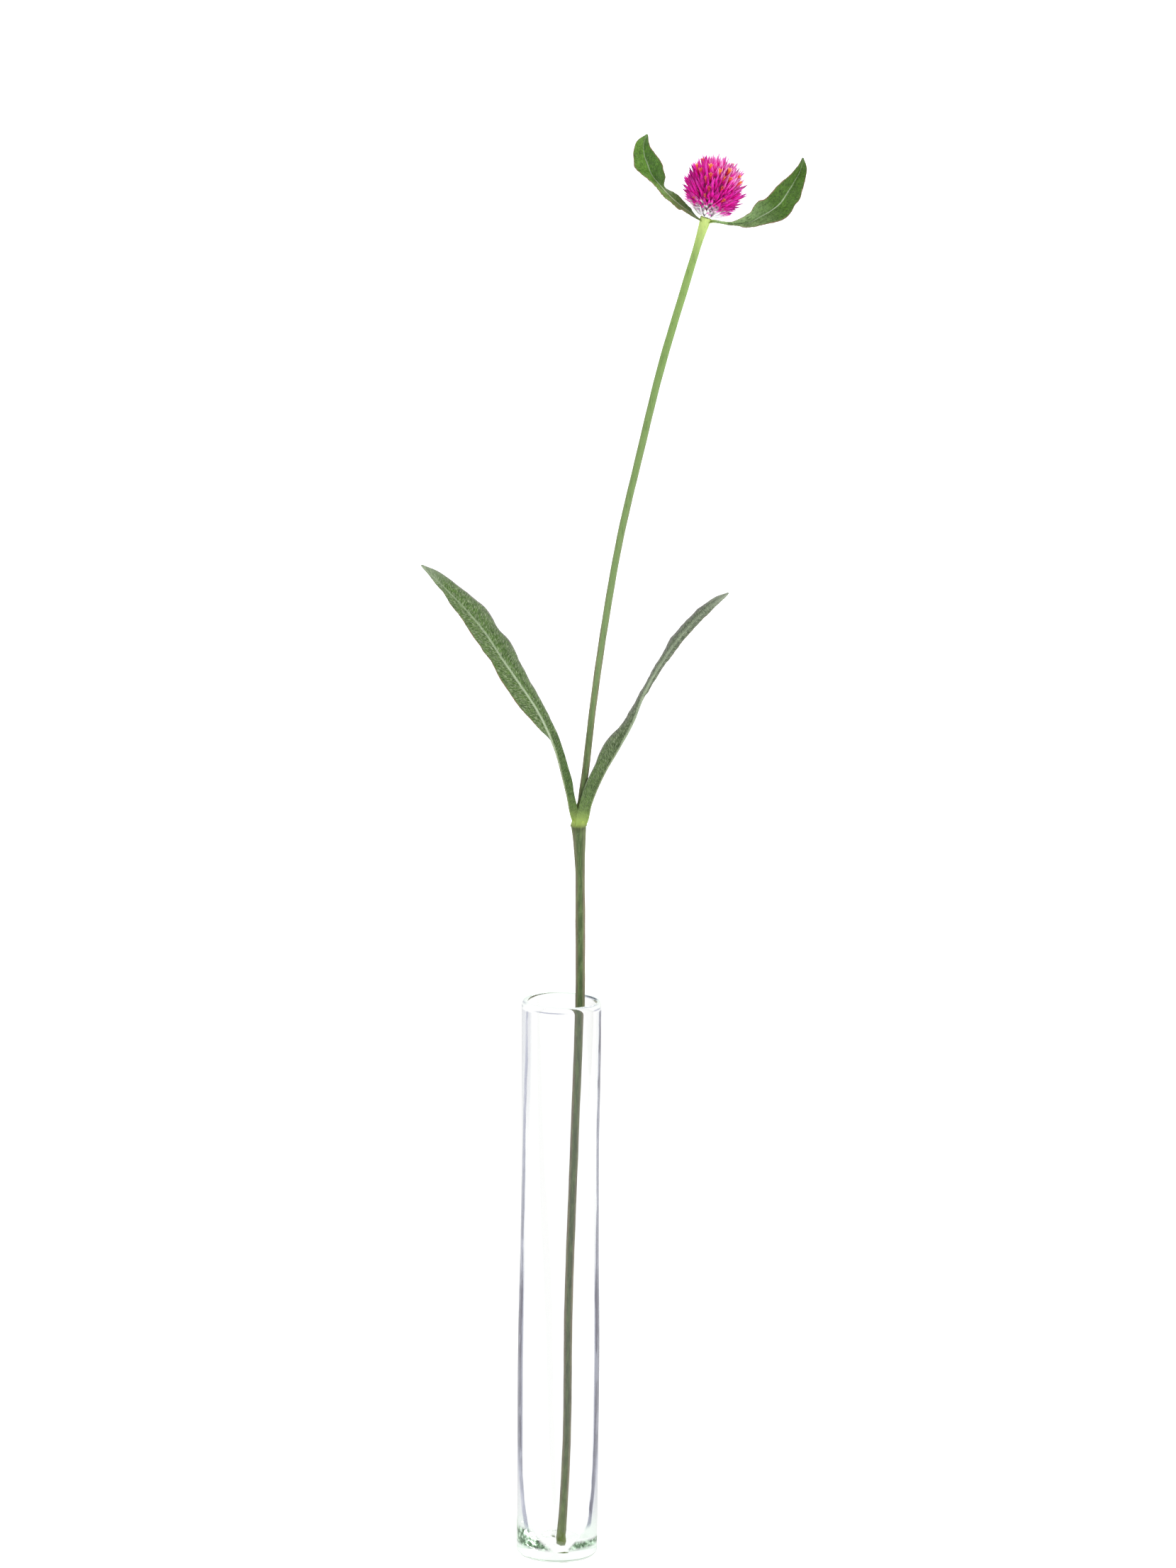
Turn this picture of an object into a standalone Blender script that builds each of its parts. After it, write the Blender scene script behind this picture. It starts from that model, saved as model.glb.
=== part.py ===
"""Globe amaranth standing in a clear glass tube vase.

One cut stem with a swollen joint, a pair of long narrow leaves at the joint, a pair of short
leaves under the bloom, and a round bloom of papery pointed bracts with small orange florets.
Metres, +Z up. The origin is the middle of the vase's flat foot, and -Y is the front.
"""

import math

import bmesh
import bpy
import numpy as np

MM = 0.001

# Glass tube vase
VASE_RADIUS = 16.0 * MM
VASE_HEIGHT = 227.5 * MM
WALL = 2.2 * MM
FLOOR = 3.0 * MM  # glass under the middle of the bowl
BOWL_HEIGHT = 30.0 * MM  # where the straight bore turns into the rounded bowl
BOWL_POWER = 3.0
HEEL_RADIUS = 2.0 * MM
VASE_SEGMENTS = 48

# Stem: cut end, joint and top, as (x, y, z) of its middle line
STEM_FOOT = np.array([1.4, -1.5, 3.6]) * MM
STEM_JOINT = np.array([6.1, 12.6, 297.0]) * MM
STEM_TOP = np.array([53.8, 26.0, 540.0]) * MM
STEM_SIDES = 12
STEM_STEP = 11.0 * MM
CLEARANCE = 0.3 * MM

# Leaves
BLADE_THICKNESS = 0.65 * MM
MIDRIB_EXTRA = 0.45 * MM
MIDRIB_HALF_WIDTH = 0.8 * MM
LEAF_TIP_HALF_WIDTH = 0.3
FRONT = np.array([0.0, -1.0, 0.25])  # the side that the lean angles are counted from

# Bloom
BLOOM_AXIS = np.array([0.24, 0.08, 0.97])
BLOOM_CENTRE_UP = 12.8 * MM  # middle of the globe above the stem's top
CORE_RADIUS = 8.4 * MM
CORE_FOOT_NARROWING = 0.05
BRACT_TIP_RADIUS = 12.6 * MM
FLOWER_COUNT = 110
OPEN_FLOWERS = 24
LOWEST_FLOWER = math.radians(148)  # angle of its tip from the top of the bloom
BRACT_HALF_WIDTH = 0.95 * MM
BRACT_HALF_DEPTH = 0.5 * MM
BRACT_SINK = 2.2 * MM
GOLDEN_ANGLE = math.pi * (3 - math.sqrt(5))


def clear_scene():
    for obj in list(bpy.data.objects):
        bpy.data.objects.remove(obj, do_unlink=True)


def material(name, colour, roughness, alpha=1.0):
    made = bpy.data.materials.new(name)
    made.use_nodes = True
    shader = made.node_tree.nodes["Principled BSDF"]
    shader.inputs["Base Color"].default_value = (*colour, 1.0)
    shader.inputs["Roughness"].default_value = roughness
    shader.inputs["Metallic"].default_value = 0.0
    shader.inputs["Alpha"].default_value = alpha
    return made


def mesh_object(name, points, faces, surface=None, smooth_angle=math.radians(40)):
    mesh = bpy.data.meshes.new(name)
    mesh.from_pydata([tuple(map(float, p)) for p in points], [], [tuple(map(int, f)) for f in faces])
    body = bmesh.new()
    body.from_mesh(mesh)
    bmesh.ops.recalc_face_normals(body, faces=body.faces)
    body.to_mesh(mesh)
    body.free()
    if surface:
        mesh.materials.append(surface)
    mesh.shade_smooth()
    mesh.set_sharp_from_angle(angle=smooth_angle)
    obj = bpy.data.objects.new(name, mesh)
    bpy.context.scene.collection.objects.link(obj)
    return obj


def unit(vectors):
    return vectors / np.linalg.norm(vectors, axis=-1, keepdims=True)


def smooth(rows, t):
    """Rows of numbers, whose first three are a place, read at shares t of the way along them.

    Cubic Hermite pieces through every row, with slopes from its two neighbours.
    """
    rows = np.asarray(rows, float)
    knots = np.concatenate([[0.0], np.cumsum(np.linalg.norm(np.diff(rows[:, :3], axis=0), axis=1))])
    knots /= knots[-1]
    slopes = np.gradient(rows, knots, axis=0)
    t = np.clip(t, 0.0, 1.0)
    i = np.clip(np.searchsorted(knots, t, side="right") - 1, 0, len(knots) - 2)
    span = (knots[i + 1] - knots[i])[:, None]
    s = ((t - knots[i]) / span[:, 0])[:, None]
    return (
        (2 * s**3 - 3 * s**2 + 1) * rows[i]
        + (s**3 - 2 * s**2 + s) * span * slopes[i]
        + (3 * s**2 - 2 * s**3) * rows[i + 1]
        + (s**3 - s**2) * span * slopes[i + 1]
    )


# Glass vase


def vase_profile():
    """(radius, height) of the glass from the middle of its foot, up the outside, over the rim and down the bowl."""
    heel = [
        (VASE_RADIUS - HEEL_RADIUS + HEEL_RADIUS * math.sin(a), HEEL_RADIUS - HEEL_RADIUS * math.cos(a))
        for a in np.radians([0, 30, 60, 90])
    ]
    lip = WALL / 2
    rim = [
        (VASE_RADIUS - lip + lip * math.cos(a), VASE_HEIGHT - lip + lip * math.sin(a))
        for a in np.radians([0, 30, 60, 90, 120, 150, 180])
    ]
    bore = VASE_RADIUS - WALL
    depth = BOWL_HEIGHT - FLOOR
    bowl = [
        (
            bore * max(math.cos(a), 0.0) ** (2 / BOWL_POWER),
            BOWL_HEIGHT - depth * math.sin(a) ** (2 / BOWL_POWER),
        )
        for a in np.radians([0, 8, 20, 34, 48, 60, 70, 79, 86])
    ]
    return [(0.0, 0.0), *heel, *rim, *bowl, (0.0, FLOOR)]


def make_vase():
    """The profile turned about Z. Its two ends lie on the axis and become the poles of foot and bowl."""
    profile = vase_profile()
    points = [(0.0, 0.0, profile[0][1]), (0.0, 0.0, profile[-1][1])]
    rings = profile[1:-1]
    for radius, height in rings:
        for a in np.linspace(0, 2 * math.pi, VASE_SEGMENTS, endpoint=False):
            points.append((radius * math.cos(a), radius * math.sin(a), height))
    faces = []
    last = 2 + (len(rings) - 1) * VASE_SEGMENTS
    for k in range(VASE_SEGMENTS):
        n = (k + 1) % VASE_SEGMENTS
        faces.append((0, 2 + n, 2 + k))
        faces.append((1, last + k, last + n))
        for ring in range(len(rings) - 1):
            a = 2 + ring * VASE_SEGMENTS
            b = a + VASE_SEGMENTS
            faces.append((a + k, a + n, b + n, b + k))
    return mesh_object("vase", points, faces, material("clear_glass", (0.86, 0.94, 0.89), 0.03, 0.3))


# Stem


def stem_line():
    """Middle line and radii of the lower stem, from its cut end: x, y, z, half width, half depth.

    It stands on the bowl, leans on the back of the rim and swells at the joint.
    """
    rows = [
        (1.9, -0.8, 14.0, 1.75, 1.75),
        (3.0, 0.3, 42.0, 1.65, 1.65),
        (3.6, 3.2, 102.0, 1.7, 1.7),
        (5.8, 6.8, 172.0, 1.75, 1.75),
        (7.3, 9.0, 225.0, 1.88, 1.85),
        (7.1, 10.8, 258.0, 1.97, 1.95),
        (6.7, 12.0, 283.0, 2.05, 2.0),
        (6.4, 12.4, 291.5, 2.5, 2.25),
    ]
    return MM * np.array([(*STEM_FOOT / MM, 2.0, 2.0), *rows, (*STEM_JOINT / MM, 3.3, 2.7)])


def stalk_line():
    """The thinner stalk from the joint to the cushion that the bloom sits on."""
    rows = [
        (6.4, 13.0, 302.0, 1.5, 1.5),
        (8.5, 14.0, 318.5, 1.45, 1.45),
        (11.2, 15.4, 344.0, 1.42, 1.42),
        (15.7, 17.2, 378.0, 1.45, 1.45),
        (21.3, 19.1, 412.0, 1.45, 1.45),
        (28.8, 21.0, 446.0, 1.48, 1.48),
        (36.7, 22.8, 480.0, 1.56, 1.56),
        (46.3, 24.6, 514.0, 1.58, 1.58),
        (51.2, 25.5, 531.0, 1.65, 1.65),
    ]
    return MM * np.array([(*STEM_JOINT / MM, 1.6, 1.6), *rows, (*STEM_TOP / MM, 2.3, 2.3)])


def line_length(rows):
    return float(np.linalg.norm(np.diff(rows[:, :3], axis=0), axis=1).sum())


def rings_along(rows, sides, step, tight_end=None):
    """Rings of points round a line, square to it, and a share of tight_end added close to its last row."""
    t = np.linspace(0, 1, int(round(line_length(rows) / step)) + 1)
    if tight_end:
        t = np.unique(np.concatenate([t, 1 - np.asarray(tight_end)]))
    fine = smooth(rows, t)
    tangent = unit(np.gradient(fine[:, :3], axis=0))
    across = unit(np.cross(np.cross(tangent, [1.0, 0.0, 0.0]), tangent))
    across *= np.sign(across[:, :1])
    behind = np.cross(tangent, across)
    a = np.linspace(0, 2 * math.pi, sides, endpoint=False)
    return (
        fine[:, None, :3]
        + np.cos(a)[None, :, None] * across[:, None] * fine[:, None, 3:4]
        + np.sin(a)[None, :, None] * behind[:, None] * fine[:, None, 4:5]
    )


def make_stem():
    """Lower stem, joint shoulder and stalk as one closed skin, with flat ends."""
    lower = rings_along(stem_line(), STEM_SIDES, STEM_STEP, tight_end=(0.008, 0.02, 0.035))
    upper = rings_along(stalk_line(), STEM_SIDES, STEM_STEP, tight_end=(0.01,))
    shoulder_height = np.array([0.0, 0.0, 0.35 * MM])
    upper[0] += shoulder_height
    rings = np.concatenate([lower, upper])
    count = len(rings)
    points = rings.reshape(-1, 3)
    faces = []
    for i in range(count - 1):
        for k in range(STEM_SIDES):
            n = (k + 1) % STEM_SIDES
            a, b = i * STEM_SIDES, (i + 1) * STEM_SIDES
            faces.append((a + k, a + n, b + n))
            faces.append((a + k, b + n, b + k))
    faces.append(tuple(range(STEM_SIDES))[::-1])
    faces.append(tuple((count - 1) * STEM_SIDES + k for k in range(STEM_SIDES)))
    return mesh_object("stem", points, faces, material("stem_green", (0.16, 0.27, 0.09), 0.6))


# Leaves

# Each row is a place on the midrib in millimetres, the true half width there, and how far the left and the
# right half of the blade lean towards the front, in degrees. A negative lean turns a half away, so that the
# underside shows.
LEAVES = {
    "leaf_lower_left": {
        "rows": [
            (3.0, 12.2, 297.9, 1.5, -125, 45),
            (1.4, 10.6, 310.5, 2.6, -112, 15),
            (-1.5, 8.0, 323.4, 3.2, -110, -12),
            (-5.6, 5.0, 335.8, 3.9, -80, -38),
            (-11.3, 2.0, 347.6, 4.9, -18, -48),
            (-18.0, -0.5, 358.3, 5.6, -18, -39),
            (-24.8, -3.0, 369.1, 6.1, -43, -15),
            (-31.5, -4.4, 379.7, 6.1, -40, -27),
            (-39.3, -5.9, 389.4, 5.6, -53, 10),
            (-47.8, -6.9, 398.5, 3.9, -63, 14),
            (-56.2, -7.8, 407.3, LEAF_TIP_HALF_WIDTH, -57, -5),
        ],
        "waves": (5.6, 0.75, 0.10, 0.42),
        "colour": (0.075, 0.16, 0.045),
    },
    "leaf_lower_right": {
        "rows": [
            (8.9, 12.3, 297.9, 1.5, 45, -125),
            (10.6, 12.5, 306.2, 3.0, 34, -118),
            (15.4, 14.9, 318.2, 4.7, 20, -107),
            (21.7, 17.3, 328.3, 5.3, -10, -104),
            (27.2, 19.3, 338.3, 5.0, -52, -94),
            (31.2, 21.2, 348.4, 4.8, -71, -80),
            (36.1, 22.8, 357.8, 4.9, -73, -76),
            (42.1, 23.8, 367.1, 5.0, -66, -67),
            (48.8, 24.8, 375.7, 4.7, -61, -63),
            (56.3, 25.6, 382.9, 3.5, -54, -60),
            (64.3, 26.1, 389.5, LEAF_TIP_HALF_WIDTH, -38, -48),
        ],
        "waves": (5.2, 0.55, 0.65, 0.2),
        "colour": (0.085, 0.17, 0.06),
    },
    "leaf_upper_left": {
        "rows": [
            (50.8, 24.8, 539.6, 1.2, 79, -57),
            (47.2, 23.0, 542.8, 2.2, 68, -50),
            (43.7, 21.2, 545.6, 3.2, 61, -43),
            (40.6, 19.4, 548.8, 3.9, 63, -53),
            (37.8, 17.8, 552.4, 4.3, 58, -76),
            (34.7, 16.8, 555.3, 4.8, 71, -33),
            (32.3, 16.4, 558.8, 5.3, 60, 2),
            (30.7, 16.8, 562.6, 5.4, 26, 4),
            (29.5, 17.6, 566.5, 4.6, 11, 30),
            (29.1, 18.8, 570.4, 3.2, 5, 45),
            (30.5, 20.2, 574.1, LEAF_TIP_HALF_WIDTH, 3, 36),
        ],
        "waves": (3.2, 0.35, 0.0, 0.3),
        "colour": (0.07, 0.19, 0.045),
    },
    "leaf_upper_right": {
        "rows": [
            (56.5, 25.2, 538.6, 1.1, 55, 55),
            (60.5, 23.6, 538.4, 1.0, 60, 64),
            (65.4, 22.2, 538.2, 1.9, 41, 69),
            (70.5, 21.2, 539.0, 3.7, 33, 58),
            (74.8, 20.4, 541.4, 5.2, 14, 50),
            (79.1, 19.8, 544.1, 5.9, 22, 28),
            (82.9, 19.4, 547.5, 5.9, 29, -10),
            (85.6, 19.2, 551.7, 5.4, 26, -8),
            (88.2, 19.3, 556.1, 4.4, 42, 20),
            (90.4, 19.6, 560.5, 2.8, 48, 20),
            (91.6, 20.0, 565.3, LEAF_TIP_HALF_WIDTH, 50, 10),
        ],
        "waves": (3.6, 0.45, 0.55, 0.05),
        "colour": (0.07, 0.17, 0.045),
    },
}
LEAF_ALONG = 26
LEAF_ACROSS = 8


def blade(leaf, along, across):
    """Middle surface of a leaf as a grid of points, and how wide it is at each row.

    Each half leaves the midrib at its own lean and is waved towards its margin.
    """
    u = np.linspace(0, 1, along + 1)
    v = np.linspace(-1, 1, across + 1)
    rows = smooth(leaf["rows"], u)
    middle, width = rows[:, :3], np.maximum(rows[:, 3], LEAF_TIP_HALF_WIDTH)
    count, height, left_phase, right_phase = leaf["waves"]
    tangent = unit(np.gradient(middle, axis=0))
    facing = unit(FRONT - (tangent @ FRONT)[:, None] * tangent)
    side = np.cross(tangent, facing)
    left = v < 0
    lean = np.radians(np.where(left[None, :], rows[:, 4:5], rows[:, 5:6]))
    lean[:, v == 0] = np.radians((rows[:, 5:6] - rows[:, 4:5]) / 2)
    hand = np.where(left, -1.0, 1.0)[None, :, None]
    cos, sin = np.cos(lean)[..., None], np.sin(lean)[..., None]
    outward = hand * cos * side[:, None] + sin * facing[:, None]
    normal = -hand * sin * side[:, None] + cos * facing[:, None]
    phase = np.where(left, left_phase, right_phase)[None, :]
    fade = np.sin(np.pi * np.clip(u, 0.0, 1.0)) ** 0.7
    wave = height * fade[:, None] * np.abs(v)[None, :] ** 1.6
    wave = wave * np.sin(2 * np.pi * (count * u[:, None] + phase))
    reach = width[:, None] * np.abs(v)[None, :]
    grid = middle[:, None] + reach[..., None] * outward + wave[..., None] * normal
    return grid * MM, reach * MM


def make_leaf(name, leaf):
    """The blade given its thickness, more along the midrib, with both faces split the same way."""
    grid, reach = blade(leaf, LEAF_ALONG, LEAF_ACROSS)
    du = np.gradient(grid, axis=0)
    dv = np.gradient(grid, axis=1)
    normal = unit(np.cross(dv, du))
    rib = MIDRIB_EXTRA * np.exp(-((reach / MIDRIB_HALF_WIDTH) ** 2))
    half = (BLADE_THICKNESS + rib)[..., None] / 2
    n, m = grid.shape[:2]
    points = np.concatenate([(grid + normal * half).reshape(-1, 3), (grid - normal * half).reshape(-1, 3)])
    under = n * m
    faces = []
    for i in range(n - 1):
        for j in range(m - 1):
            a, b, c, d = i * m + j, i * m + j + 1, (i + 1) * m + j + 1, (i + 1) * m + j
            faces += [(a, b, c), (a, c, d)]
            faces += [(under + c, under + b, under + a), (under + d, under + c, under + a)]
    rim = [i * m for i in range(n)] + [(n - 1) * m + j for j in range(1, m)]
    rim += [i * m + m - 1 for i in range(n - 2, -1, -1)] + list(range(m - 2, 0, -1))
    for a, b in zip(rim, rim[1:] + rim[:1]):
        faces += [(b, a, under + a), (b, under + a, under + b)]
    return mesh_object(name, points, faces, material(name + "_green", leaf["colour"], 0.55))


# Bloom


def bloom_frame():
    """Middle of the globe, and its axis with two directions square to it, the second of them to the front."""
    up = unit(BLOOM_AXIS)
    centre = STEM_TOP + BLOOM_CENTRE_UP * up
    right = unit(np.cross([0.0, 1.0, 0.0], up))
    front = np.cross(right, up)
    return centre, right, front, up


def flowers():
    """Angle from the top, and turn about the axis, of every flower, on a spiral of golden angles."""
    k = np.arange(FLOWER_COUNT)
    height = 1 - (1 - math.cos(LOWEST_FLOWER)) * (k + 0.5) / FLOWER_COUNT
    return np.arccos(height), k * GOLDEN_ANGLE


def core_shape(place):
    """A globe whose lower half narrows to a foot that ends just above the stem."""
    foot = np.clip(-place[:, 2] / CORE_RADIUS, 0.0, 1.0)
    shaped = place.copy()
    shaped[:, :2] *= (1 - CORE_FOOT_NARROWING * foot**2)[:, None]
    shaped[:, 2] -= foot**4 * (BLOOM_CENTRE_UP - CORE_RADIUS - CLEARANCE)
    return shaped


def bract_line(polar):
    """Tip, direction and length of a bract whose tip is this far from the top, in the plane (out, up).

    Bracts rise at about half the angle of their tip, like the bristles of a brush, and start inside the core.
    """
    tip = BRACT_TIP_RADIUS * np.array([math.sin(polar), math.cos(polar)])
    rise = 0.5 * polar + math.radians(6) * (polar / math.radians(110)) ** 2
    way = np.array([math.sin(rise), math.cos(rise)])
    along = float(tip @ way)
    apart = math.sqrt(max(BRACT_TIP_RADIUS**2 - along**2, 0.0))
    inside = math.sqrt(max(CORE_RADIUS**2 - min(apart, 0.97 * CORE_RADIUS) ** 2, 0.0))
    return tip, way, along - inside + BRACT_SINK


def bract(root, way, wide, length, half_width, half_depth):
    """A pointed papery bract: four-sided, widest below its middle. wide is the direction of its width."""
    deep = unit(np.cross(way, wide))
    wide = np.cross(deep, way)
    points = []
    for share, w, d in ((0.0, 0.55, 0.8), (0.5, 1.0, 1.0)):
        at = root + way * length * share
        points += [
            at + wide * half_width * w,
            at + deep * half_depth * d,
            at - wide * half_width * w,
            at - deep * half_depth * d,
        ]
    points.append(root + way * length)
    faces = [(3, 2, 1, 0)]
    for k in range(4):
        n = (k + 1) % 4
        faces += [(k, n, 4 + n, 4 + k), (4 + k, 4 + n, 8)]
    return points, faces


def floret(root, way, wide, length):
    """An open floret: a slim tube that flares into a five-cornered crown."""
    deep = np.cross(way, wide)
    a = np.linspace(0, 2 * math.pi, 5, endpoint=False)
    points = []
    for share, radius in ((0.0, 0.4), (0.82, 0.45), (0.97, 0.85)):
        for angle in a:
            points.append(
                root + way * length * share + (wide * math.cos(angle) + deep * math.sin(angle)) * radius * MM
            )
    points.append(root + way * length)
    faces = [(4, 3, 2, 1, 0)]
    for k in range(5):
        n = (k + 1) % 5
        faces += [(k, n, 5 + n, 5 + k), (5 + k, 5 + n, 10 + n, 10 + k), (10 + k, 10 + n, 15)]
    return points, faces


def make_bloom():
    """A core with two bracts for every flower, and a floret in each open one, joined into one body."""
    centre, right, front, up = bloom_frame()
    turn = np.array([right, front, up])
    surface = material("bract_magenta", (0.58, 0.02, 0.33), 0.6)

    core = bmesh.new()
    bmesh.ops.create_uvsphere(core, u_segments=16, v_segments=10, radius=CORE_RADIUS)
    mesh = bpy.data.meshes.new("flower_head")
    core.to_mesh(mesh)
    core.free()
    place = core_shape(np.array([v.co for v in mesh.vertices]))
    mesh.vertices.foreach_set("co", (place @ turn + centre).ravel())
    mesh.materials.append(surface)
    head = bpy.data.objects.new("flower_head", mesh)
    bpy.context.scene.collection.objects.link(head)

    pieces = bpy.data.collections.new("bracts")
    bpy.context.scene.collection.children.link(pieces)
    draw = np.random.default_rng(7)
    polar, turns = flowers()
    candidates = np.flatnonzero((polar > math.radians(24)) & (polar < math.radians(100)))
    is_open = set(draw.choice(candidates, OPEN_FLOWERS, replace=False).tolist())

    def add(name, shape):
        piece = mesh_object(name, *shape)
        bpy.context.scene.collection.objects.unlink(piece)
        pieces.objects.link(piece)

    for k in range(FLOWER_COUNT):
        tip, way, length = bract_line(polar[k])
        length += draw.uniform(-0.5, 0.7) * MM
        out = np.array([math.cos(turns[k]), math.sin(turns[k]), 0.0])
        around = np.array([-math.sin(turns[k]), math.cos(turns[k]), 0.0])
        at = tip[0] * out + np.array([0.0, 0.0, tip[1]])
        rise = unit(way[0] * out + np.array([0.0, 0.0, way[1]]))
        root = at - rise * length
        for hand in (-1, 1):
            tip_way = unit(rise + hand * around * 0.15 + out * draw.uniform(-0.08, 0.08))
            wide = unit(around + hand * out * 0.5)
            start = (root + hand * around * 0.7 * MM) @ turn + centre
            shape = bract(start, tip_way @ turn, wide @ turn, length, BRACT_HALF_WIDTH, BRACT_HALF_DEPTH)
            add(f"bract_{k}_{hand}", shape)
        if k in is_open:
            start = root @ turn + centre
            add(f"floret_{k}", floret(start, rise @ turn, around @ turn, length * 0.98))

    join = head.modifiers.new("join", "BOOLEAN")
    join.operation = "UNION"
    join.operand_type = "COLLECTION"
    join.collection = pieces
    join.solver = "EXACT"
    graph = bpy.context.evaluated_depsgraph_get()
    joined = bpy.data.meshes.new_from_object(head.evaluated_get(graph))
    head.modifiers.clear()
    head.data = joined
    for piece in list(pieces.objects):
        bpy.data.objects.remove(piece, do_unlink=True)
    bpy.data.collections.remove(pieces)
    return head


clear_scene()
make_vase()
make_stem()
for leaf_name, leaf_values in LEAVES.items():
    make_leaf(leaf_name, leaf_values)
make_bloom()
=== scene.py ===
"""Globe amaranth standing in a clear glass tube vase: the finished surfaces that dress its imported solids.

Metres, +Z up, -Y is the front. The origin is the middle of the vase's flat foot.
"""

import math

import bpy
import numpy as np
from mathutils import Matrix, Vector


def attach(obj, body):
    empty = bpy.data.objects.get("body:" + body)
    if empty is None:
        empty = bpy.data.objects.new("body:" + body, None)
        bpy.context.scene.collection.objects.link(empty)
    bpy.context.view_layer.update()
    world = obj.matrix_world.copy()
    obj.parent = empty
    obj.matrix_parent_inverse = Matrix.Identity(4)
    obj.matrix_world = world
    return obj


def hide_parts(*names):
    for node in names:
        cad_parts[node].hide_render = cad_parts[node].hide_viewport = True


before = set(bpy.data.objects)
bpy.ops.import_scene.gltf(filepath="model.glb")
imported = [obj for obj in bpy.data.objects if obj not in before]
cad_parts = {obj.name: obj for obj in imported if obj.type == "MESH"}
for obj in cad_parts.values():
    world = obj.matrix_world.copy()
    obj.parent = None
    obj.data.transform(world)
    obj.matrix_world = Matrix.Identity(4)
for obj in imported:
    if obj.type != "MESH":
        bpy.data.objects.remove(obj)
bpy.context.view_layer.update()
MM = 0.001


# ---- Camera ----
# It looks down 14 degrees on the front of the vase from about four and a half metres, through a long lens,
# and is turned half a degree about its own line of sight.
VIEWPOINT = (0.00965726, -4.36633077, 1.40604019)
LOOKING_DOWN = math.radians(14.0)
TILT = math.radians(0.5198)

camera_data = bpy.data.cameras.new("camera")
camera_data.lens = 262.03
camera_data.sensor_width = 36.0
camera_data.clip_end = 100.0
camera = bpy.data.objects.new("camera", camera_data)
bpy.context.scene.collection.objects.link(camera)
turned = Matrix.Rotation(math.pi / 2 - LOOKING_DOWN, 4, "X") @ Matrix.Rotation(TILT, 4, "Z")
camera.matrix_world = Matrix.Translation(VIEWPOINT) @ turned
bpy.context.scene.camera = camera


# ---- Glass vase ----
# A clear glass tube, drawn with a thick flat foot and a rounded bowl inside it. The rim is fire-polished to a
# half round. Thick glass is faintly green. Edges seen along the wall are painted grey, and the lip and the
# foot carry painted dark lines and green facets: all painted reflections.
VASE_HEIGHT = 229.1 * MM
WALL = 2.2 * MM
FLOOR = 2.0 * MM
FOOT_PUSH, FOOT_REACH = 0.25 * MM, 11.5 * MM
# (height, radius) up the outside, which a tube drawn by hand doesn't keep quite even
OUTSIDE_ROWS = np.array([
    (4, 16.15), (30, 16.2), (52, 16.3), (77, 16.38), (97, 16.25), (117, 15.95), (141, 15.7), (169, 15.52),
    (190, 15.7), (210, 15.86), (229.1, 15.88),
]) * MM
# (radius, height) down the inside of the bowl, where the bore narrows and rounds off into the floor
BOWL_ROWS = np.array([
    (14.1, 56), (14, 44), (13.8, 32), (13.4, 23), (12.8, 17), (11.9, 12.2), (10.9, 8.6), (9.6, 5.8), (8, 3.8),
    (6.2, 2.6), (3.4, 2.1), (0.9, 2),
]) * MM
# height, then for the left and the right side how the wall is painted grey along its edge, a painted
# reflection:
# where a streak starts past the bore's edge, how broad and strong it is, where a veil starts, and how strong
# that is
BAND_ROWS = np.array([
    (4, -0.04, 0.12, 0, 0, 0, -0.04, 0.12, 0, 0, 0),
    (13, -0.04, 0.14, 0.4, 0, 0.1, -0.04, 0.14, 0, 0, 0.05),
    (15, -0.04, 0.16, 0.5, 0, 0.1, -0.04, 0.16, 1, 0, 0.1),
    (19, -0.04, 0.18, 0.5, 0, 0.15, -0.04, 0.16, 1, 0, 0.2),
    (26, -0.02, 0.2, 0.55, 0, 0.2, -0.02, 0.18, 0.9, 0, 0.3),
    (36, 0, 0.28, 0.75, 0, 0.4, 0, 0.26, 0.85, 0, 0.45),
    (50, 0.04, 0.42, 0.95, 0, 0.72, 0.02, 0.4, 0.95, 0, 0.72),
    (68, 0.06, 0.44, 0.92, 0, 0.78, 0.04, 0.44, 0.92, 0, 0.76),
    (77, 0.06, 0.44, 0.86, 0, 0.74, 0.04, 0.44, 0.84, 0, 0.7),
    (87, 0.04, 0.46, 1, 0, 0.74, 0.02, 0.44, 1, 0, 0.7),
    (98, 0.02, 0.44, 1, 0, 0.66, 0.02, 0.44, 1, 0, 0.64),
    (109, 0.04, 0.38, 1, 0, 0.5, 0.02, 0.38, 1, 0, 0.5),
    (124, 0.08, 0.26, 0.85, 0, 0.18, 0.1, 0.26, 0.85, 0, 0.18),
    (146, 0.08, 0.26, 0.72, 0, 0.08, 0.12, 0.28, 0.75, 0, 0.08),
    (174, 0.06, 0.24, 0.6, -0.1, 0.05, 0.12, 0.3, 0.68, 0, 0),
    (194, 0, 0.18, 0.55, -0.16, 0.18, 0.12, 0.34, 0.92, 0, 0.04),
    (209, -0.05, 0.14, 0.48, -0.18, 0.22, 0.12, 0.36, 1, 0, 0.08),
    (229.1, -0.06, 0.12, 0.42, -0.18, 0.24, 0.12, 0.36, 1, 0, 0.1),
])
LIP_HEIGHT = 2.8 * MM
HEEL_RADIUS = 2.0 * MM
LONG_HELD = 2.5  # how often the glass throws a ray back before it lets it go


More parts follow.
